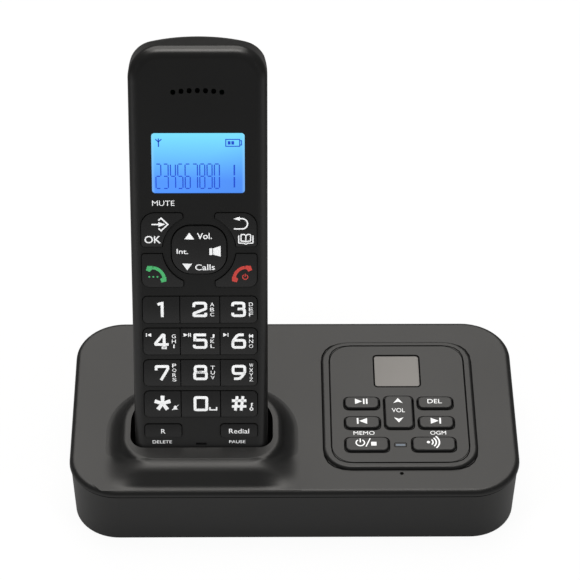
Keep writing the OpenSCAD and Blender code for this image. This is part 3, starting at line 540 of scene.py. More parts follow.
def parting_shade(node, height, width):
    """Painted shade: a dark band of a height along the upper edge of a node's outer wall, where the
    shell on top of it starts, which stands in for the shade in the groove between the two shells. It
    follows the convex hull of the topmost points, seen from above."""
    points = points_of(frame["nodes"][node].data)
    top = points[:, 2].max()
    plan = points[points[:, 2] > top - height * MM][:, :2] / MM
    line = plan[convex_hull_2d(plan.tolist())]
    middle = (line.max(0) + line.min(0)) / 2
    centre = np.array([*middle * MM, top])
    dark = bpy.data.materials["gap_shade"]
    shapes = [ribbon(line - middle, width, closed=True)]
    return film(f"parting_{node}", shapes, DECK, centre, level, dark, "base", 0.0, height)


# ---------------------------------------------------------------- the slope before the cradle
# Places are in millimetres from the middle of the cradle and the base, heights above the deck.

# The radius of the slope's round brow, and how softly its foot runs out
SLOPE_BROW = 9.0
FOOT_SOFT = 0.9
# How far from the cradle's middle the slope is gone, how far before that it starts to fade, and
# over how far it fades beside the cradle, towards the back
SLOPE_HALF = 38.0
SIDE_FADE = 18.0
BACK_FADE = 9.0
# How softly the slope and the flare run together at the collar's corners, and over how much
# height, distance from the collar and distance past its straight front that softness grows
CORNER_SOFT = 3.0
SOFT_RISE = 2.0
SOFT_OUT = 4.0
SOFT_PAST = 7.0
# How far the sheet lies below the slope worked out, and how far its bottom below the flare
SHEET_SUNK = 0.03
SHEET_DEPTH = 0.3


def eased(share):
    """A share from 0 to 1 that starts and ends level: 3 s^2 - 2 s^3, clipped."""
    share = np.clip(share, 0, 1)
    return share * share * (3 - 2 * share)


def joined(one, other, soft, share=1):
    """The higher of two heights a and b. Where they are less than the softness s apart, a share of
    s (1 - |a - b| / s)^2 / 4 goes on top, which rounds the crease between them."""
    rounding = soft * (1 - np.abs(one - other) / soft).clip(0) ** 2 / 4
    return np.maximum(one, other) + rounding * share


def deck_height(along):
    """The level deck, and the roll of radius r along its front edge: sqrt(r^2 - past^2) - r."""
    past = (DECK_FRONT - DECK_ROLL + along).clip(-DECK_ROLL, 0)
    return np.sqrt(DECK_ROLL**2 - past**2) - DECK_ROLL


def flare_height(out):
    """The collar's flare at a distance outside its plan: an arc about a middle below the rim, the
    brow, and from where they touch an arc about a middle above the deck, the hollow."""
    steep = 2 * math.atan((RIM_RISE + FLARE_TOE) / FLARE_WIDTH)
    hollow = FLARE_WIDTH / math.sin(steep) - FLARE_BROW
    brow = np.sqrt((FLARE_BROW**2 - out**2).clip(0)) - FLARE_BROW + RIM_RISE
    left = (FLARE_WIDTH - out).clip(0)
    valley = hollow - FLARE_TOE - np.sqrt((hollow**2 - left**2).clip(0))
    return np.where(out < FLARE_BROW * math.sin(steep), brow, valley)


def slope_height(ahead, foot):
    """The slope at a distance ahead of the collar: an arc that starts level with the rim, the brow,
    and from it the tangent that reaches the deck at the foot."""
    drop = RIM_RISE - SLOPE_BROW
    tilt = math.atan2(drop, foot) + math.asin(SLOPE_BROW / math.hypot(foot, drop))
    bent = SLOPE_BROW * math.sin(tilt)
    brow = np.sqrt(SLOPE_BROW**2 - np.minimum(ahead, bent) ** 2) - SLOPE_BROW
    return RIM_RISE + brow - (ahead - bent).clip(0) * math.tan(tilt)


def collar_grid(straight, ahead, first=0.2, widest=19.0, turns=46, steps=60):
    """Places round the front half of the collar's plan, which is a straight front between two round
    corners. Each row of the grid is a ray square to the plan, which turns from left through front
    to right. It runs from the first distance outside the plan to a level line ahead of it, or to
    the widest distance. Gives the places across, those along, and the distances."""
    turn = np.concatenate([np.linspace(-90, 0, turns), np.linspace(0, 90, turns)])
    turn, share = np.meshgrid(np.radians(turn), np.linspace(0, 1, steps), indexing="ij")
    limit = (COLLAR_CORNER + ahead) / np.cos(turn).clip(0.01) - COLLAR_CORNER
    out = first + share * (np.minimum(limit, widest) - first)
    side = np.repeat([-1.0, 1.0], turns)[:, None] * straight
    across = side + (COLLAR_CORNER + out) * np.sin(turn)
    along = COLLAR_CORNER - COLLAR_FRONT - (COLLAR_CORNER + out) * np.cos(turn)
    return across, along, out


def sheet(name, across, along, top, bottom, origin, material):
    """A closed piece between two heights over one grid of places: the top, the bottom turned over,
    and a wall that joins their borders."""
    corners = np.vstack([np.stack([across, along, z], -1).reshape(-1, 3) for z in (top, bottom)])
    count = across.size
    index = np.arange(count).reshape(across.shape)
    quads = np.stack([index[:-1, :-1], index[:-1, 1:], index[1:, 1:], index[1:, :-1]], -1)
    quads = quads.reshape(-1, 4)
    border = np.concatenate([index[0], index[1:, -1], index[-1, -2::-1], index[-2:0:-1, 0]])
    after = np.roll(border, -1)
    walls = np.column_stack([border, border + count, after + count, after])
    faces = np.vstack([quads[:, ::-1], quads + count, walls[:, ::-1]]).tolist()
    return closed_piece(name, corners * MM + origin, faces, material, "base", smooth=True)


def apron(name, material):
    """A slope in front of the cradle, laid over the hollow flare of the collar: the higher of the
    two, which run together at the collar's corners. It runs out softly at its foot, where the roll
    along the deck's front edge starts, and it fades into the deck on both sides of the cradle."""
    foot = DECK_FRONT - DECK_ROLL - COLLAR_FRONT
    straight = COLLAR_HALF - COLLAR_CORNER
    across, along, out = collar_grid(straight, foot + FOOT_SOFT)
    beside_front = np.abs(across) - straight
    deck = deck_height(along)
    flare = np.maximum(flare_height(out), deck)
    slope = joined(slope_height((-COLLAR_FRONT - along).clip(0), foot), deck, FOOT_SOFT)
    share = eased((SLOPE_HALF - np.abs(across)) / SIDE_FADE)
    share *= eased((COLLAR_CORNER - COLLAR_FRONT - along) / BACK_FADE)
    slope = share * slope + (1 - share) * deck
    corner = eased(np.minimum(slope, flare) / SOFT_RISE) * eased(out / SOFT_OUT)
    corner *= eased(beside_front / SOFT_PAST)
    top = joined(slope, flare, CORNER_SOFT, corner) - SHEET_SUNK
    low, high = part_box("base_bottom_shell")
    origin = np.array([
        (low.x + high.x) / 2 + CRADLE_X * MM, (low.y + high.y) / 2,
        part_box("base_top_shell")[1].z - RIM_RISE * MM,
    ])
    return sheet(name, across, along, top, flare - SHEET_DEPTH, origin, material)


# ---------------------------------------------------------------- shaders


class Value:
    """A socket's number, on which +, -, * and / add Math nodes."""

    def __init__(self, shader, socket):
        self.shader, self.socket = shader, socket

    def _math(self, operation, a, b):
        made = self.shader.node("ShaderNodeMath", {"operation": operation}, {0: a, 1: b})
        return Value(self.shader, made.outputs[0])

    def __add__(self, other):
        return self._math("ADD", self, other)

    def __radd__(self, other):
        return self._math("ADD", other, self)

    def __sub__(self, other):
        return self._math("SUBTRACT", self, other)

    def __rsub__(self, other):
        return self._math("SUBTRACT", other, self)

    def __mul__(self, other):
        return self._math("MULTIPLY", self, other)

    def __rmul__(self, other):
        return self._math("MULTIPLY", other, self)

    def __truediv__(self, other):
        return self._math("DIVIDE", self, other)

    def __rtruediv__(self, other):
        return self._math("DIVIDE", other, self)

    def clamped(self):
        """The number, kept from 0 to 1."""
        made = self.shader.node("ShaderNodeClamp", {}, {"Value": self})
        return Value(self.shader, made.outputs[0])

    def absolute(self):
        """The number without its sign."""
        return self._math("ABSOLUTE", self, 0.0)


class Shader:
    """A material that is built up node by node on its Principled shader."""

    def __init__(self, name):
        self.material = bpy.data.materials.new(name)
        self.material.use_nodes = True
        self.tree = self.material.node_tree
        self.principled = self.tree.nodes["Principled BSDF"]

    def node(self, kind, settings, sockets):
        """Adds a node, makes its settings, then sets or links its sockets."""
        made = self.tree.nodes.new(kind)
        for name, value in settings.items():
            setattr(made, name, value)
        for name, value in sockets.items():
            self.feed(made.inputs[name], value)
        return made

    def feed(self, socket, value):
        """Links a value to a socket, or sets the socket's own value."""
        if isinstance(value, Value):
            self.tree.links.new(value.socket, socket)
        elif hasattr(value, "__len__") and socket.type == "RGBA":
            socket.default_value = (*value[:3], 1.0)
        else:
            socket.default_value = value

    def surface(self, **sockets):
        """Sets the Principled shader's sockets; an underscore stands for a space."""
        for name, value in sockets.items():
            self.feed(self.principled.inputs[name.replace("_", " ")], value)
        return self.material

    def place(self):
        """The point's own coordinates on the object."""
        made = self.node("ShaderNodeTexCoord", {}, {})
        return Value(self, made.outputs["Object"])

    def noise(self, scale, detail=2.0, roughness=0.5):
        """Cloudy numbers from 0 to 1 with a number of clouds per metre."""
        made = self.node(
            "ShaderNodeTexNoise", {},
            {"Vector": self.place(), "Scale": scale, "Detail": detail, "Roughness": roughness},
        )
        return Value(self, made.outputs[0])

    def along(self, direction, offset=0.0):
        """How far the point lies along a direction, in metres."""
        made = self.node(
            "ShaderNodeVectorMath", {"operation": "DOT_PRODUCT"}, {0: self.place(), 1: direction}
        )
        return Value(self, made.outputs["Value"]) - offset

    def mix(self, share, first, second):
        """A colour between two others."""
        made = self.node(
            "ShaderNodeMix", {"data_type": "RGBA"}, {0: share, 6: first, 7: second}
        )
        return Value(self, made.outputs[2])

    def bump(self, height, distance, strength=1.0):
        """A normal bent by a height."""
        made = self.node(
            "ShaderNodeBump", {}, {"Height": height, "Distance": distance, "Strength": strength}
        )
        return Value(self, made.outputs[0])


def tinted(colour, factor):
    """A colour made lighter or darker."""
    return tuple(min(1.0, c * factor) for c in colour)


def moulded(name, colour, roughness, grain=0.00002):
    """Moulded plastic: a fine spark texture, and clouds that change its sheen a little."""
    shader = Shader(name)
    clouds = shader.noise(24.0, 3.0)
    spark = shader.noise(2600.0, 1.0)
    return shader.surface(
        Base_Color=shader.mix(clouds, tinted(colour, 0.88), tinted(colour, 1.14)),
        Roughness=roughness - 0.04 + clouds * 0.08,
        Normal=shader.bump(spark, grain, 0.5),
    )


def ink(name, colour, roughness=0.45):
    """Printed ink, a little uneven."""
    shader = Shader(name)
    clouds = shader.noise(900.0)
    return shader.surface(
        Base_Color=shader.mix(clouds, tinted(colour, 0.93), colour),
        Roughness=roughness + clouds * 0.1,
    )


def metal(name, colour, roughness):
    """Plated metal with fine rolled streaks."""
    shader = Shader(name)
    streaks = shader.noise(1500.0, 3.0)
    return shader.surface(
        Base_Color=shader.mix(streaks, tinted(colour, 0.85), colour),
        Metallic=1.0,
        Roughness=roughness + streaks * 0.15,
        Normal=shader.bump(streaks, 0.00001, 0.3),
    )


def soft_rubber(name, colour):
    """Rubber with a dusty, uneven surface."""
    shader = Shader(name)
    dust = shader.noise(400.0, 4.0)
    return shader.surface(
        Base_Color=shader.mix(dust, colour, tinted(colour, 1.5)),
        Roughness=0.75 + dust * 0.15,
        Normal=shader.bump(dust, 0.00003, 0.4),
    )


def circuit_board(name):
    """Green lacquer over copper that shows through as darker and lighter stripes."""
    shader = Shader(name)
    tracks = shader.node(
        "ShaderNodeTexBrick", {"offset": 0.5},
        {"Vector": shader.place(), "Scale": 260.0, "Mortar Size": 0.03,
         "Color1": (0.01, 0.09, 0.04), "Color2": (0.015, 0.12, 0.05), "Mortar": (0.03, 0.2, 0.08)},
    )
    return shader.surface(Base_Color=Value(shader, tracks.outputs[0]), Roughness=0.35)


def sleeved_cell(name):
    """Shrink-wrapped sleeve of a rechargeable cell."""
    shader = Shader(name)
    clouds = shader.noise(120.0)
    return shader.surface(
        Base_Color=shader.mix(clouds, (0.02, 0.16, 0.06), (0.03, 0.2, 0.08)),
        Roughness=0.25 + clouds * 0.1,
        Coat_Weight=0.4,
    )


def lit_display(name, colours):
    """A backlit display: its light runs from the top colour to the bottom one, is a little deeper
    to the right, and brightens along the rim."""
    shader = Shader(name)
    low, high = FACE.spans("display_window")
    width, height = high[0] - low[0], high[1] - low[1]
    up = shader.along(tuple(FACE.axes[1]), low[1]) / height
    right = shader.along(tuple(FACE.axes[0]), low[0]) / width
    glow = shader.mix((up * 1.25 - 0.25).clamped(), colours.display_bottom, colours.display_top)
    deeper = (right * 0.9 - up * 0.75 - 0.1).clamped() * 0.55
    glow = shader.mix(deeper, glow, tinted(colours.display_bottom, 0.72))
    rim = ((right - 0.5).absolute() * 26.0 - 12.1).clamped()
    glow = shader.mix(rim * 0.45, glow, (0.36, 0.72, 1.0))
    return shader.surface(
        Base_Color=(0.01, 0.02, 0.04),
        Roughness=0.12 + shader.noise(60.0) * 0.04,
        Emission_Color=glow,
        Emission_Strength=1.0,
        Specular_IOR_Level=0.3,
    )


def grey_display(name, colour):
    """A display at rest behind its clear window."""
    shader = Shader(name)
    clouds = shader.noise(45.0, 2.0)
    return shader.surface(
        Base_Color=shader.mix(clouds, tinted(colour, 0.9), tinted(colour, 1.08)),
        Roughness=0.22 + clouds * 0.08,
    )


# ---------------------------------------------------------------- what a user would change


def colour_setting(name, description, default):
    """A setting that is a colour, as linear red, green and blue."""
    return FloatVectorProperty(
        name=name, description=description, subtype="COLOR", default=default, min=0, max=1
    )


def length_setting(name, description, default, low, high):
    """A setting that is a length, given in millimetres."""
    return FloatProperty(
        name=name, description=description, subtype="DISTANCE", unit="LENGTH",
        default=default * MM, min=low * MM, max=high * MM,
    )


def power_setting(name, description, default):
    """A setting that is a lamp's power in watts."""
    return FloatProperty(
        name=name, description=description, unit="POWER", default=default, min=0, max=200
    )


class PhoneColours(bpy.types.PropertyGroup):
    """Colours of the phone."""

    shell: colour_setting(
        "Shell", "Moulded shells of the handset and the base", (0.006, 0.006, 0.0059)
    )
    keys: colour_setting("Keys", "Keys of the handset and the base", (0.0085, 0.0085, 0.0086))
    print_white: colour_setting("Print", "White print on the keys", (0.88, 0.89, 0.9))
    print_green: colour_setting("Talk", "Print on the key that takes a call", (0.07, 0.42, 0.15))
    print_red: colour_setting("End", "Print on the key that ends a call", (0.52, 0.055, 0.045))
    display_top: colour_setting(
        "Display, top", "Light of the handset's display along its top", (0.2, 0.76, 1.0)
    )
    display_bottom: colour_setting(
        "Display, bottom", "Light of the handset's display along its bottom", (0.085, 0.3, 1.0)
    )
    display_marks: colour_setting(
        "Display marks", "Signs and digits on the handset's display", (0.012, 0.07, 0.6)
    )
    base_display: colour_setting(
        "Base display", "Small display of the base at rest", (0.15, 0.142, 0.134)
    )


class PhoneSizes(bpy.types.PropertyGroup):
    """Sizes of what is printed on the phone."""

    digit_width: length_setting("Digit width", "Width of a dialling digit", 5.4, 3, 8)
    digit_height: length_setting("Digit height", "Height of a dialling digit", 6.05, 3, 8)
    stroke: length_setting("Stroke", "Thickness of a dialling digit's strokes", 1.05, 0.4, 1.8)
    letter_pitch: length_setting(
        "Letter pitch", "Distance between the small letters beside a digit", 2.0, 1, 3
    )
    display_number: StringProperty(
        name="Number", description="Digits that the handset's display shows", default="234567890"
    )


class PhoneStage(bpy.types.PropertyGroup):
    """Light and camera."""

    lens: FloatProperty(
        name="Lens", description="Focal length of the camera in millimetres",
        default=164.79, min=20, max=400,
    )
    softbox: power_setting("Softbox", "Power of the large lamp behind and over the phone", 20.5)
    top: power_setting("Top lamp", "Power of the lamp right over the phone", 7.0)
    front: power_setting("Front lamps", "Power of each of the two lamps beside the camera", 13.5)
    world: FloatProperty(
        name="Room light", description="Strength of the even light from all round",
        default=0.13, min=0, max=2,
    )


# ---------------------------------------------------------------- operators


class PHONE_OT_finishes(bpy.types.Operator):
    """Gives each solid of the model its finish"""

    bl_idname = "phone.finishes"
    bl_label = "Finish the Solids"

    def execute(self, context):
        colours = context.scene.phone_colours
        keys = moulded("key_plastic", colours.keys, 0.43, 0.000015)
        finishes = {
            moulded("shell_plastic", colours.shell, 0.29): (
                "handset_front_shell", "handset_back_shell", "battery_cover"),
            moulded("base_plastic", colours.shell, 0.4): (
                "base_top_shell", "base_bottom_shell", "control_plate"),
            moulded("lining_plastic", tinted(colours.shell, 0.8), 0.6): ("line_jack", "power_jack"),
            moulded("display_frame", (0.1, 0.1, 0.1), 0.5): ("display_module", "base_display_module"),
            circuit_board("circuit_board"): ("base_board", "handset_board"),
            metal("speaker_frame", (0.2, 0.2, 0.21), 0.4): ("base_speaker", "ringer_speaker"),
            metal("plated_steel", (0.6, 0.6, 0.62), 0.28): (
                "base_screws", "handset_screws", "battery_contacts"),
            metal("plated_contact", (0.78, 0.62, 0.34), 0.22): (
                "charge_springs", "handset_charge_contacts"),
            metal("aluminium_can", (0.7, 0.7, 0.72), 0.35): ("base_microphone", "handset_microphone"),
            soft_rubber("black_felt", (0.006, 0.006, 0.006)): ("earpiece_speaker",),
            soft_rubber("feet_rubber", (0.02, 0.02, 0.02)): ("rubber_feet",),
            soft_rubber("grey_silicone", (0.12, 0.12, 0.12)): (
                "base_keymat", "handset_keymat", "nav_pad_pivot"),
            sleeved_cell("cell_sleeve"): ("batteries",),
            lit_display("lit_display", colours): ("display_window",),
            grey_display("grey_display", colours.base_display): ("base_display_window",),
            ink("milky_light", (0.1, 0.13, 0.17), 0.3): ("status_light_pipe",),
        }
        named = {node: material for material, nodes in finishes.items() for node in nodes}
        for node, solid in frame["nodes"].items():
            solid.data.materials.clear()
            solid.data.materials.append(named.get(node, keys))
        for name, colour in (
            ("white_ink", colours.print_white), ("green_ink", colours.print_green),
            ("red_ink", colours.print_red), ("display_ink", colours.display_marks),
        ):
            ink(name, tuple(colour))
        # gap_shade: near-black and hardly glossy, the finish of the bands of painted shade in the
        # base's gaps and seams
        Shader("gap_shade").surface(
            Base_Color=(0.003, 0.003, 0.003), Roughness=0.9, Specular_IOR_Level=0.05)
        return {"FINISHED"}


class PHONE_OT_dial_prints(bpy.types.Operator):
    """Prints the digits, letters and signs on the twelve dialling keys"""

    bl_idname = "phone.dial_prints"
    bl_label = "Print the Dialling Keys"

    def execute(self, context):
        size = context.scene.phone_sizes
        white = bpy.data.materials["white_ink"]
        letters = dict(zip("23456789", ("ABC", "DEF", "GHI", "JKL", "MNO", "PQRS", "TUV", "WXYZ")))
        signs = {
            "4": skip_sign(1.9, 1.4, -1), "5": play_sign(2.7, 1.4), "6": skip_sign(1.9, 1.4, 1),
        }
        surface = crowned(DIAL_KEY_CROWN)
        for name in "1234567890":
            shapes = moved(digit(name, size), 0, 0.3)
            group = letters.get(name, "")
            pitch = size.letter_pitch / MM * (0.94 if len(group) == 4 else 1)
            top = 0.3 + pitch * (len(group) - 1) / 2
            for i, letter in enumerate(group):
                width = 0.5 if letter == "I" else 1.5
                shapes += moved(words(letter, width, 1.45, HALF_BOLD), 4.55, top - i * pitch)
            shapes += moved(signs.get(name, []), -4.75, 2.8)
            if name == "0":
                shapes += moved(space_sign(), 4.6, -1.75)
            on_key(f"key_{name}", shapes, surface, white)
        asterisk = moved(star(3.05, 1.5), 0, 0.5) + moved(bell_sign(), 4.7, -1.2)
        on_key("key_star", asterisk, surface, white)
        hashes = moved(hash_sign(5.4, 5.8, 1.05), 0, 0.4) + moved(key_sign(), 4.6, -0.9)
        on_key("key_hash", hashes, surface, white)
        return {"FINISHED"}


class PHONE_OT_call_prints(bpy.types.Operator):
    """Prints the signs on the pad, on the keys round it and on the two small keys"""

    bl_idname = "phone.call_prints"
    bl_label = "Print the Call Keys"

    def execute(self, context):
        white, green, red = (bpy.data.materials[f"{c}_ink"] for c in ("white", "green", "red"))
        bent, small = crowned(CALL_KEY_CROWN), crowned(SMALL_KEY_CROWN)
        enter = moved(enter_sign(), -0.6, 2.3) + moved(words("OK", 5.9, 2.9, BOLD), -3.4, -3.6)
        names = moved(return_sign(), 1.7, 2.6) + moved(book_sign(), 3.6, -3.5)
        answer = moved(handset_sign(-1), -2.0, -0.7)
        answer += [disc(x, -2.3, 0.34) for x in (-4.9, -3.4, -1.9)]
        hang_up = moved(handset_sign(1), 1.8, -0.65) + moved(power_sign(0.95, 0.36), 3.3, -2.4)
        pad = arrow_head(-3.5, 5.6, 3.6, 2.5) + arrow_head(-4.4, -6.5, 3.6, -2.7)
        pad += moved(words("Vol.", 5.4, 2.3, BOLD), 2.0, 5.6)
        pad += moved(words("Int.", 4.2, 1.9, BOLD), -6.1, -0.4)
        pad += moved(words("Calls", 7.2, 2.4, BOLD), 2.1, -6.6)
        pad += moved(speaker_sign(), 5.8, -0.4)
        on_key("ok_key", enter, bent, white)
        on_key("phonebook_key", names, bent, white)
        on_key("talk_key", answer, bent, green)
        on_key("end_key", hang_up, bent, red)
        on_key("nav_pad", pad, domed(PAD_DOME), white)
        on_key("recall_key", words("R", 1.6, 1.8), small, white)
        on_key("redial_key", words("Redial", 7.5, 1.9), small, white)
        face = FACE.spans("handset_front_shell")[1][2]
        for name, key, right, up, shapes in (
            ("print_mute", "nav_pad", -12.8, 17.9, words("MUTE", 8.1, 2.0, LIGHT)),
            ("print_delete", "recall_key", -0.5, -4.7, words("DELETE", 7.2, 1.2)),
            ("print_pause", "redial_key", -0.7, -4.7, words("PAUSE", 6.1, 1.2)),
        ):
            beside(name, key, FACE, right, up, face, shapes, "handset")
        return {"FINISHED"}


class PHONE_OT_display_marks(bpy.types.Operator):
    """Draws what the handset's display shows"""

    bl_idname = "phone.display_marks"
    bl_label = "Draw the Display"

    def execute(self, context):
        number = context.scene.phone_sizes.display_number
        blue = bpy.data.materials["display_ink"]
        width, height = 1.8, 9.3
        foot, first, pitch = -9.6, -15.3, 2.64
        shapes = moved(antenna_sign(), -14.2, 7.8) + moved(battery_sign(), 12.9, 7.7)
        for i, name in enumerate(number):
            shapes += moved(display_digit(name, width, height, 0.4), first + i * pitch, foot)
        shapes += moved(display_digit("1", width, height, 0.55), 11.2, foot)
        centre = FACE.top("display_window")
        film("display_marks", shapes, FACE, centre, level, blue, "handset", rise=0.02, depth=0.02)
        return {"FINISHED"}


class PHONE_OT_base_prints(bpy.types.Operator):
    """Prints the signs on the keys and the plate of the base"""

    bl_idname = "phone.base_prints"
    bl_label = "Print the Base"

    def execute(self, context):
        white = bpy.data.materials["white_ink"]
        rocker = notched_head(0, 5.3, 3.6, 2.6) + moved(words("VOL", 5.0, 2.1), 0, 0.2)
        rocker += notched_head(0, -4.9, 3.6, -2.7)
        power = moved(power_sign(1.6, 0.48), -2.4, 0)
        power += [ribbon([(-0.3, -2.0), (1.4, 2.2)], 0.42), block(1.7, -1.5, 3.7, 0.4)]
        for key, shapes in (
            ("play_key", play_sign(4.8, 2.8)),
            ("previous_key", skip_sign(3.9, 3.0, -1)),
            ("next_key", skip_sign(3.9, 3.0, 1)),
            ("delete_key", words("DEL", 5.5, 2.2)),
            ("volume_rocker", rocker),
            ("power_key", power),
            ("locate_key", moved(wave_sign(), -1.9, 0.2)),
        ):
            on_key(key, moved(shapes, -0.2, 0.35), level, white, DECK)
        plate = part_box("control_plate")[1].z
        beside("print_memo", "power_key", DECK, -1.0, 6.2, plate, words("MEMO", 8.0, 1.9), "base")
        beside("print_ogm", "locate_key", DECK, 1.9, 6.2, plate, words("OGM", 6.0, 1.9), "base")
        return {"FINISHED"}


class PHONE_OT_paint_seam_shade(bpy.types.Operator):
    """Paints shade into the gaps of the base: dark bands round its control plate, display, light and
    keys, round the foot of the raised platform, and along the line where its two shells meet"""

    bl_idname = "phone.seams"
    bl_label = "Darken the Seams"

    def execute(self, context):
        # Bands of painted shade, in the gaps round the base's keys, display, plate and light, at the
        # platform's foot and along the parting line
        width = 0.4
        for key in ("play_key", "previous_key", "delete_key", "next_key", "power_key",
                    "locate_key", "volume_rocker"):
            seam_shade(key, outset=KEY_GAP - KEY_FLANGE + width / 2, radius=2.5, width=width)
        seam_shade("base_display_window", outset=0.15, radius=1.6, width=0.6)
        seam_shade("control_plate", outset=0.42, radius=8.6, width=0.42)
        seam_shade("status_light_pipe", outset=0.15, radius=0.55, width=0.25)
        foot_shade(width=0.5)
        parting_shade("base_bottom_shell", height=0.5, width=0.04)
        return {"FINISHED"}


class PHONE_OT_apron(bpy.types.Operator):
    """Lays the slope that runs from the cradle down to the front edge of the base"""

    bl_idname = "phone.apron"
    bl_label = "Lay the Slope before the Cradle"

    def execute(self, context):
        apron("collar_apron", bpy.data.materials["base_plastic"])
        return {"FINISHED"}


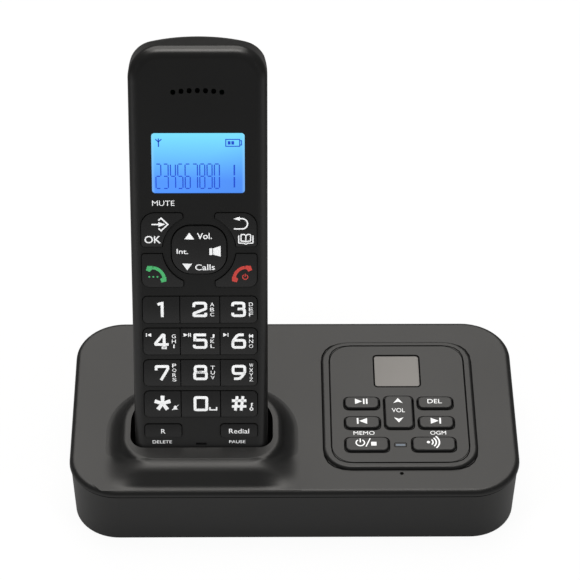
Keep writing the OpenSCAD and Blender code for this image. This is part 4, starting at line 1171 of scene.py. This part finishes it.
class PHONE_OT_stage(bpy.types.Operator):
    """Sets up the floor, the lamps and the camera"""

    bl_idname = "phone.stage"
    bl_label = "Set Up the Stage"

    def execute(self, context):
        stage = context.scene.phone_stage
        self.floor()
        self.world(context.scene, stage.world)
        low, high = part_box("base_bottom_shell")
        middle = Vector(((low.x + high.x) / 2, (low.y + high.y) / 2, 0))
        aim = middle + Vector((0, 0, 0.05))
        warm, plain = (1.0, 0.975, 0.935), (1.0, 1.0, 1.0)
        for name, offset, size, power, colour, mirrored in (
            ("softbox", (-0.1, 0.75, 1.3), (1.6, 1.8), stage.softbox, warm, True),
            ("top_lamp", (0, 0.1, 1.5), (0.9, 0.6), stage.top, warm, True),
            ("left_lamp", (-1.155, -0.81, 0.513), (0.6, 0.6), stage.front, plain, False),
            ("right_lamp", (1.155, -0.81, 0.513), (0.6, 0.6), stage.front, plain, False),
        ):
            self.lamp(name, aim + Vector(offset), aim, size, power, colour, mirrored)
        self.camera(context.scene, middle, stage.lens)
        return {"FINISHED"}

    def lamp(self, name, place, target, size, power, colour, mirrored):
        """An area lamp that looks at a point, and is seen in mirror images or not."""
        data = bpy.data.lights.new(name, "AREA")
        data.shape = "RECTANGLE"
        data.size, data.size_y = size
        data.energy = power
        data.color = colour
        lamp = bpy.data.objects.new(name, data)
        lamp.location = place
        lamp.rotation_euler = (target - place).to_track_quat("-Z", "Y").to_euler()
        lamp.visible_glossy = mirrored
        bpy.context.scene.collection.objects.link(lamp)

    def floor(self):
        """A wide floor that keeps a soft shadow. It is white to the camera and grey in mirror
        images, where it is lighter in front of the phone than behind it."""
        mesh = bpy.data.meshes.new("floor")
        half = 6.0
        corners = [(-half, -half, 0), (half, -half, 0), (half, half, 0), (-half, half, 0)]
        mesh.from_pydata(corners, [], [(0, 1, 2, 3)])
        floor = bpy.data.objects.new("floor", mesh)
        bpy.context.scene.collection.objects.link(floor)
        shader = Shader("floor_white")
        rays = shader.node("ShaderNodeLightPath", {}, {})
        direct = Value(shader, rays.outputs["Is Camera Ray"])
        behind, ahead, white = ((grey, grey, grey) for grey in (0.12, 0.35, 0.9))
        front = (shader.along((0, -1, 0)) * 5.0 + 0.5).clamped()
        mirrored = Value(shader, rays.outputs["Is Glossy Ray"]) * front
        shade = shader.mix(direct, shader.mix(front, behind, ahead), white)
        shader.surface(Base_Color=shade, Roughness=0.9, Specular_IOR_Level=0.1)
        through = Value(shader, rays.outputs["Is Transmission Ray"])
        seen = (direct + through).clamped() * 0.93 + mirrored * 0.25
        glow = shader.node("ShaderNodeEmission", {}, {"Color": (1, 1, 1), "Strength": 1.0})
        both = shader.node("ShaderNodeMixShader", {}, {0: seen})
        shader.tree.links.new(shader.principled.outputs[0], both.inputs[1])
        shader.tree.links.new(glow.outputs[0], both.inputs[2])
        output = shader.tree.nodes["Material Output"]
        shader.tree.links.new(both.outputs[0], output.inputs["Surface"])
        mesh.materials.append(shader.material)

    def world(self, scene, strength):
        """Even light, which the camera sees as white."""
        world = bpy.data.worlds.new("studio")
        scene.world = world
        world.use_nodes = True
        tree = world.node_tree
        background = tree.nodes["Background"]
        rays = tree.nodes.new("ShaderNodeLightPath")
        brightness = tree.nodes.new("ShaderNodeMix")
        brightness.inputs[2].default_value = strength
        brightness.inputs[3].default_value = 1.0
        tree.links.new(rays.outputs["Is Camera Ray"], brightness.inputs[0])
        tree.links.new(brightness.outputs[0], background.inputs["Strength"])
        background.inputs["Color"].default_value = (1, 1, 1, 1)

    def camera(self, scene, middle, lens):
        """A long lens from in front and above, turned a little about its own line of sight."""
        elevation, azimuth, roll = (math.radians(a) for a in (43.75191, -0.81175, 0.43516))
        stand = Vector((-0.011904, -0.707268, 0.765505))
        right = Vector((math.cos(azimuth), math.sin(azimuth), 0))
        front = Vector((math.sin(azimuth), -math.cos(azimuth), 0))
        back = front * math.cos(elevation) + Vector((0, 0, math.sin(elevation)))
        up = back.cross(right)
        rolled = right * math.cos(roll) + up * math.sin(roll)
        upright = up * math.cos(roll) - right * math.sin(roll)
        data = bpy.data.cameras.new("camera")
        data.lens, data.sensor_width = lens, 36.0
        data.clip_start, data.clip_end = 0.05, 20.0
        camera = bpy.data.objects.new("camera", data)
        turn = Matrix((rolled, upright, back)).transposed().to_4x4()
        camera.matrix_world = Matrix.Translation(middle + stand) @ turn
        scene.collection.objects.link(camera)
        scene.camera = camera
        scene.view_settings.view_transform = "Standard"


class PHONE_PT_panel(bpy.types.Panel):
    """Lists what the phone is finished with"""

    bl_label = "Cordless Phone"
    bl_idname = "PHONE_PT_panel"
    bl_space_type = "VIEW_3D"
    bl_region_type = "UI"
    bl_category = "Phone"

    def draw(self, context):
        for group in ("phone_colours", "phone_sizes", "phone_stage"):
            box = self.layout.box()
            settings = getattr(context.scene, group)
            for name in settings.__annotations__:
                box.prop(settings, name)
        for operator in OPERATORS:
            self.layout.operator(operator.bl_idname)


OPERATORS = (
    PHONE_OT_finishes,
    PHONE_OT_dial_prints,
    PHONE_OT_call_prints,
    PHONE_OT_display_marks,
    PHONE_OT_base_prints,
    PHONE_OT_paint_seam_shade,
    PHONE_OT_apron,
    PHONE_OT_stage,
)
GROUPS = {"phone_colours": PhoneColours, "phone_sizes": PhoneSizes, "phone_stage": PhoneStage}


def register():
    """Makes the settings, the operators and the panel known to Blender."""
    for part in (*GROUPS.values(), *OPERATORS, PHONE_PT_panel):
        bpy.utils.register_class(part)
    for name, group in GROUPS.items():
        setattr(bpy.types.Scene, name, PointerProperty(type=group))


def unregister():
    """Takes them away again."""
    for name in GROUPS:
        delattr(bpy.types.Scene, name)
    for part in (PHONE_PT_panel, *reversed(OPERATORS), *GROUPS.values()):
        bpy.utils.unregister_class(part)


def main():
    """Makes everything in order."""
    register()
    bpy.ops.phone.finishes()
    bpy.ops.phone.dial_prints()
    bpy.ops.phone.call_prints()
    bpy.ops.phone.display_marks()
    bpy.ops.phone.base_prints()
    bpy.ops.phone.seams()
    bpy.ops.phone.apron()
    bpy.ops.phone.stage()


if __name__ == "__main__":
    main()
